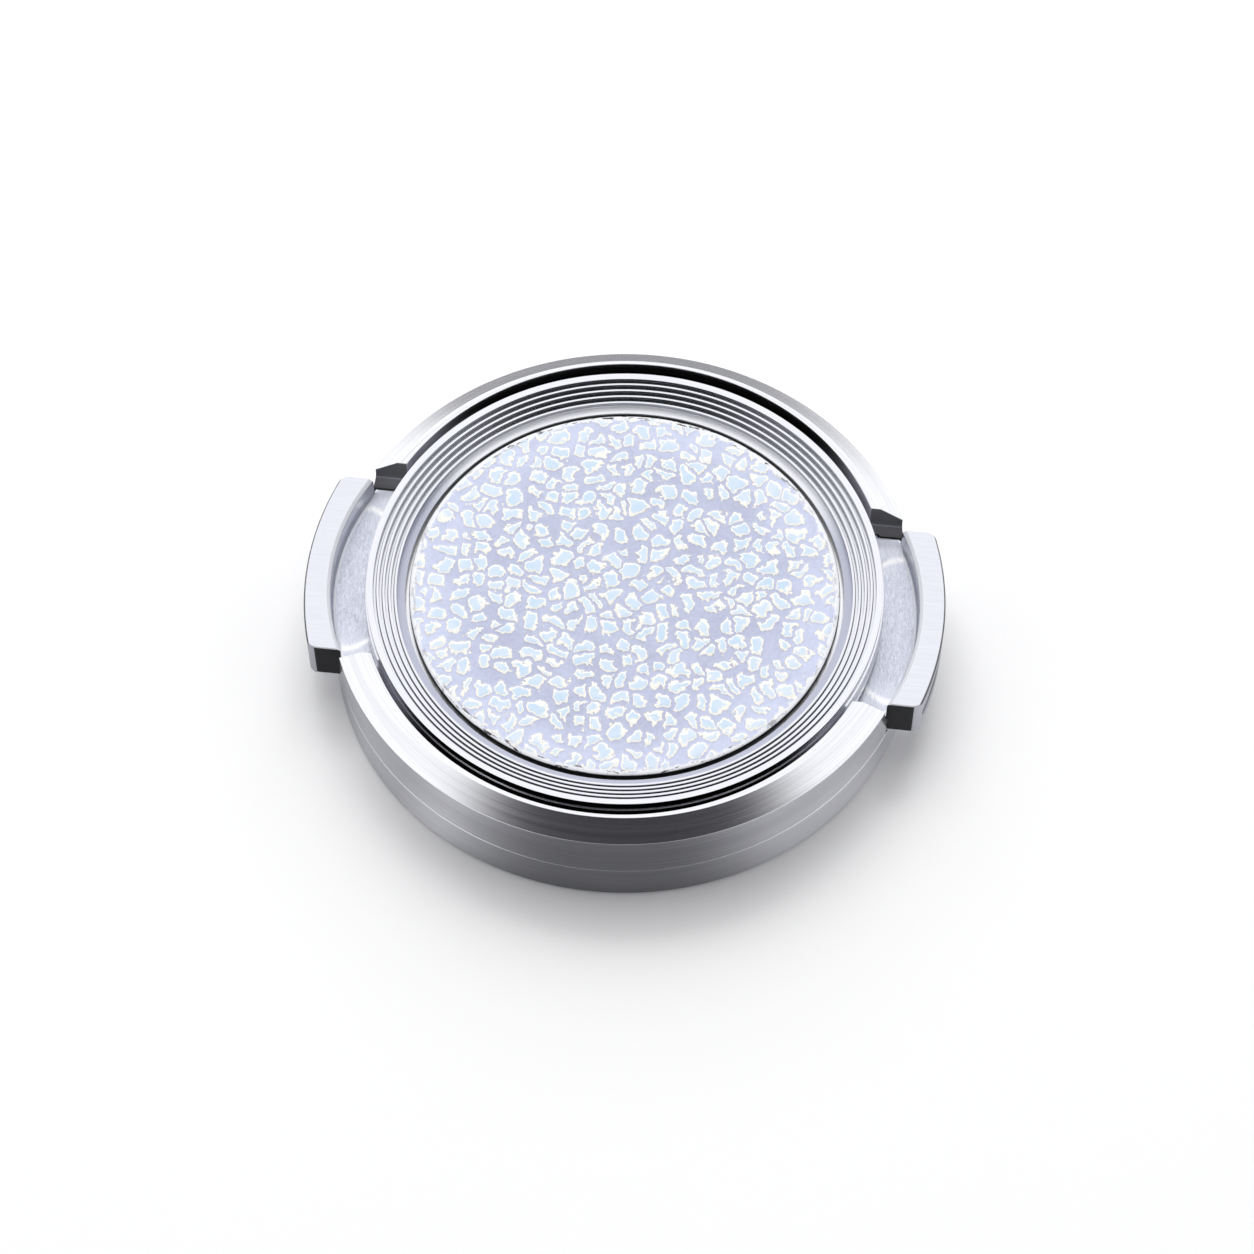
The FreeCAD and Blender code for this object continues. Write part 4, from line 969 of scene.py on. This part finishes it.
# Thread hooks: black moulded shoes screwed under the latches. Two ribs on each grip the lens's filter thread.
# Their shape is the CAD piece's own, merged and with its edges eased.
def merged_copy(node, name, material):
    """The CAD node's own shape as a smooth piece with eased edges."""
    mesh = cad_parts[node].data.copy()
    mesh.name = name
    mesh.materials.clear()
    mesh.materials.append(material)
    piece = in_scene(name, mesh)
    outward(piece)
    solid = bmesh.new()
    solid.from_mesh(mesh)
    bmesh.ops.dissolve_limit(solid, angle_limit=math.radians(1.0), verts=solid.verts[:], edges=solid.edges[:])
    solid.to_mesh(mesh)
    solid.free()
    shaded(mesh)
    edge_rounds(piece, 0.04)
    return piece

def moulded_black(at):
    mould = grains(at, 5000.0, 3.0)
    return {
        "Base Color": mould.tint((0.022, 0.022, 0.024, 1), (0.045, 0.045, 0.048, 1)),
        "Roughness": 0.45 + 0.2 * mould,
        "Normal": bumped(mould, 0.35, 0.02 * MM),
    }

hook_plastic = finish("hook_plastic", moulded_black)
for side in ("right", "left"):
    hook = merged_copy(f"{side}_thread_hook", f"{side}_thread_shoe", hook_plastic)
    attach(hook, f"{side}_tab")
    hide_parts(f"{side}_thread_hook")

# Screws of the hooks: small steel cheese-head screws with a cross recess, driven from behind into the latch.
# The same turned shape with a countersunk head serves for the rear plate below.
def screw_blank(name, head_radius, head_height, shank_radius, length, sunk_head):
    """A screw along +Z whose head's face is at 0, with a cross recess in it that narrows inwards."""
    arm = 0.2 * head_radius
    reach = 0.62 * head_radius
    taper = 0.55
    head_edge = 0.06
    tip_length = 0.15
    tip_edge = 0.12
    cross = []
    for quarter in range(4):
        cosine = math.cos(quarter * math.pi / 2)
        sine = math.sin(quarter * math.pi / 2)
        for across, out in ((-arm, reach), (0, reach), (arm, reach), (arm, 0.5 * (reach + arm)), (arm, arm)):
            cross.append((out * cosine - across * sine, out * sine + across * cosine))
    if sunk_head:
        under = [(head_radius, 0.02), (shank_radius, head_height)]
    else:
        under = [(head_radius, 0.08), (head_radius, head_height), (shank_radius, head_height)]
    outlines = [([(taper * x, taper * y) for x, y in cross], taper * head_height), (cross, 0.0)]
    tip = [(shank_radius, length - tip_length), (shank_radius - tip_edge, length)]
    angles = [math.atan2(y, x) for x, y in cross]
    for radius, height in [(head_radius - head_edge, 0.0)] + under + tip:
        outlines.append(([(radius * math.cos(angle), radius * math.sin(angle)) for angle in angles], height))
    solid = bmesh.new()
    loops = [[solid.verts.new((x * MM, y * MM, height * MM)) for x, y in points]
             for points, height in outlines]
    solid.faces.new(loops[0])
    solid.faces.new(loops[-1])
    for first, second in zip(loops, loops[1:]):
        for index in range(len(cross)):
            beside = (index + 1) % len(cross)
            solid.faces.new((first[index], first[beside], second[beside], second[index]))
    bmesh.ops.recalc_face_normals(solid, faces=solid.faces[:])
    return as_mesh(name, solid)

def screw_pair(at, size):
    """Two screws side by side along Y."""
    start = at.node("ShaderNodeCombineXYZ", None, {
        "X": size["Middle X"], "Y": size["Span Y"] * -0.5, "Z": size["Face height"]})
    offset = at.node("ShaderNodeCombineXYZ", None, {"Y": size["Span Y"]})
    line = at.node("GeometryNodeMeshLine", None, {"Count": 2, "Start Location": start, "Offset": offset})
    return at.node("GeometryNodeInstanceOnPoints", None, {"Points": line, "Instance": size["Geometry"]})

for side, x_sign in (("right", 1), ("left", -1)):
    pair_sizes = {"Middle X": x_sign * 22.644 * MM, "Span Y": 2 * 4.813 * MM, "Face height": 3.05 * MM}
    hook_blank = screw_blank("hook_screw", head_radius=0.9, head_height=0.6, shank_radius=0.5, length=3.05,
                             sunk_head=False)
    screws = node_piece(f"{side}_shoe_screws", pair_sizes, screw_pair, steel, hook_blank)
    shaded(screws.data)
    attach(screws, f"{side}_tab")
    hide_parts(f"{side}_hook_screws")

# Rear plate: a stamped plate painted matt black against stray light. It closes the latch space from behind
# and lies on a ledge in the housing, with a notch for each hook.
def matt_black(at):
    paint = grains(at, 3500.0, 4.0)
    dust = grains(at, 300.0)
    return {
        "Base Color": (0.6 * paint + 0.4 * dust).tint((0.018, 0.018, 0.02, 1), (0.042, 0.042, 0.045, 1)),
        "Roughness": 0.5 + 0.2 * paint,
        "Normal": bumped(paint, 0.3, 0.02 * MM),
    }

plate = merged_copy("rear_plate", "rear_plate_stamped", finish("plate_black", matt_black))
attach(plate, "cap")
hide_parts("rear_plate")

# Rear plate screws: four countersunk steel screws that hold the plate, flush with its face. They are the
# hooks' screws with another head, repeated at the corners of a rectangle.
plate_screw_sizes = {
    "Span X": 2 * 13.82 * MM,
    "Span Y": 2 * 16.47 * MM,
    "Face height": 4.4 * MM,
}

def screw_square(at, size):
    """The screw repeated at the four corners of a rectangle."""
    corners = at.node("GeometryNodeMeshGrid", None, {
        "Size X": size["Span X"], "Size Y": size["Span Y"], "Vertices X": 2, "Vertices Y": 2})
    height = at.node("ShaderNodeCombineXYZ", None, {"Z": size["Face height"]})
    moved = at.node("GeometryNodeTransform", None, {"Geometry": corners, "Translation": height})
    return at.node("GeometryNodeInstanceOnPoints", None, {"Points": moved, "Instance": size["Geometry"]})

plate_blank = screw_blank("plate_screw", head_radius=1.25, head_height=0.55, shank_radius=0.7, length=2.2,
                          sunk_head=True)
plate_screws = node_piece("rear_plate_screw_set", plate_screw_sizes, screw_square, steel, plate_blank)
shaded(plate_screws.data)
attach(plate_screws, "cap")
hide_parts("rear_plate_screws")

# Rear skirt: a turned ring pressed on the housing's spigot, brushed like the bezel. The seam between the two
# is the fine line round the side, and the skirt's bore goes over the lens's front ring.
skirt_bore = 25.6
skirt_lead_in = 0.3
skirt_edge_bevel = 0.2
seam_line = 0.03
spigot_seat = spigot_radius + 0.02
skirt_section = softened([
    (skirt_bore + skirt_lead_in, 0), (body_radius - skirt_edge_bevel, 0),
    (body_radius, skirt_edge_bevel), (body_radius, seam_height - seam_line),
    (body_radius - seam_line, seam_height), (spigot_seat, seam_height),
    (spigot_seat, spigot_foot), (skirt_bore, spigot_foot), (skirt_bore, skirt_lead_in),
], edge_round)
skirt = new_piece("rear_skirt_ring", ring_mesh(skirt_section), housing_metal)
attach(skirt, "cap")
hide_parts("rear_skirt")

# Studio: a white floor that keeps the cap's soft shadow, and a white room with a dark flag over the camera's
# side, so that the brushed metal mirrors dark in front and white at both sides. The floor that the metal
# mirrors is grey on the left and darker in front and behind. Softboxes behind and above give the shadow.
front_flag = Vector((0.105, -0.661, 0.743))

def studio_floor(at):
    """White, with the greys that only mirrored rays see."""
    x, y = place(at)[:2]
    away = off_axis(x, y)
    close = 1 - away.ease(28.5 * MM, 30.5 * MM)
    far = away.ease(50.0 * MM, 110.0 * MM)
    leftward = (0 - x) / away
    forward = (x * 0.06 - y * 0.998) / away
    backward = (y * 0.989 - x * 0.15) / away
    left = leftward.ease(0.55, 0.75)
    near_grey = left.tint((0.7, 0.7, 0.72, 1), (0.5, 0.5, 0.52, 1))
    close_grey = left.tint((1.0, 1.0, 1.02, 1), (0.68, 0.68, 0.7, 1))
    plain = close.tint(far.tint(near_grey, (1.45, 1.45, 1.45, 1)), close_grey)
    front_grey = close.tint((0.21, 0.21, 0.22, 1), (0.29, 0.29, 0.3, 1))
    mirrored = forward.ease(0.78, 1.0).tint(plain, front_grey)
    mirrored = leftward.ease(0.46, 0.64).tint(mirrored, plain)
    behind = backward.ease(0.66, 0.96) * (1 - leftward.ease(0.52, 0.65)) * away.ease(40.0 * MM, 54.0 * MM)
    mirrored = behind.tint(mirrored, (0.1, 0.1, 0.107, 1))
    white = grains(at, 12.0).tint((0.95, 0.949, 0.946, 1), (0.965, 0.964, 0.961, 1))
    glossy = at.node("ShaderNodeLightPath", out="Is Glossy Ray")
    return {
        "Base Color": glossy.tint(white, mirrored),
        "Roughness": 0.2,
    }

floor_drop = 0.02 * MM
floor_mesh = bmesh.new()
bmesh.ops.create_circle(floor_mesh, cap_ends=True, segments=96, radius=3.0)
bmesh.ops.translate(floor_mesh, verts=floor_mesh.verts[:], vec=(0, 0, -floor_drop))
floor = new_piece("studio_floor", floor_mesh, finish("studio_floor", studio_floor))

world = bpy.data.worlds.new("white_room")
world.use_nodes = True
sky = Field(world.node_tree)
direction = sky.node("ShaderNodeTexCoord", out="Generated")
facing = sky.node("ShaderNodeVectorMath", {"operation": "DOT_PRODUCT"},
                  {0: direction, 1: front_flag}, out="Value")
camera_ray = sky.node("ShaderNodeLightPath", out="Is Camera Ray")
glossy_ray = camera_ray.other("Is Glossy Ray")
room = glossy_ray.tint((0.8, 0.803, 0.815, 1), (1.3, 1.3, 1.32, 1))
flag = glossy_ray.tint((0.025, 0.025, 0.028, 1), (0.055, 0.053, 0.06, 1))
lighting = facing.ease(0.66, 0.9).tint(room, flag)
seen = camera_ray.tint(lighting, (1.0, 1.0, 1.0, 1))
background = world.node_tree.nodes["Background"]
world.node_tree.links.new(seen.socket, background.inputs["Color"])
bpy.context.scene.world = world

for name, spot, size, power in (("back_softbox", Vector((-0.13, 0.8, 0.8)), 0.96, 4.3),
                                ("top_softbox", Vector((-0.1, 0.32, 0.96)), 0.8, 3.5)):
    softbox = bpy.data.lights.new(name, "AREA")
    softbox.size = size
    softbox.energy = power
    lamp = in_scene(name, softbox)
    lamp.location = spot
    lamp.rotation_euler = spot.to_track_quat("Z", "Y").to_euler()
    lamp.visible_glossy = False

# Camera: a long lens from high in front, a little to the right, as in the photograph. Its place and its
# focal length come from a fit to the circles of the bezel, the ring and the disc.
azimuth = math.radians(6.70)
elevation = math.radians(57.15)
aim = Vector((0.696, -4.072, 8.8)) * MM
distance = 313.79 * MM
back = Vector((
    math.sin(azimuth) * math.cos(elevation),
    -math.cos(azimuth) * math.cos(elevation),
    math.sin(elevation),
))
lens = bpy.data.cameras.new("camera")
lens.lens = 98.62
lens.sensor_width = 36.0
lens.clip_start = 0.01
camera = in_scene("camera", lens)
camera.location = aim + back * distance
camera.rotation_euler = back.to_track_quat("Z", "Y").to_euler()
bpy.context.scene.camera = camera
bpy.context.scene.view_settings.view_transform = "Standard"
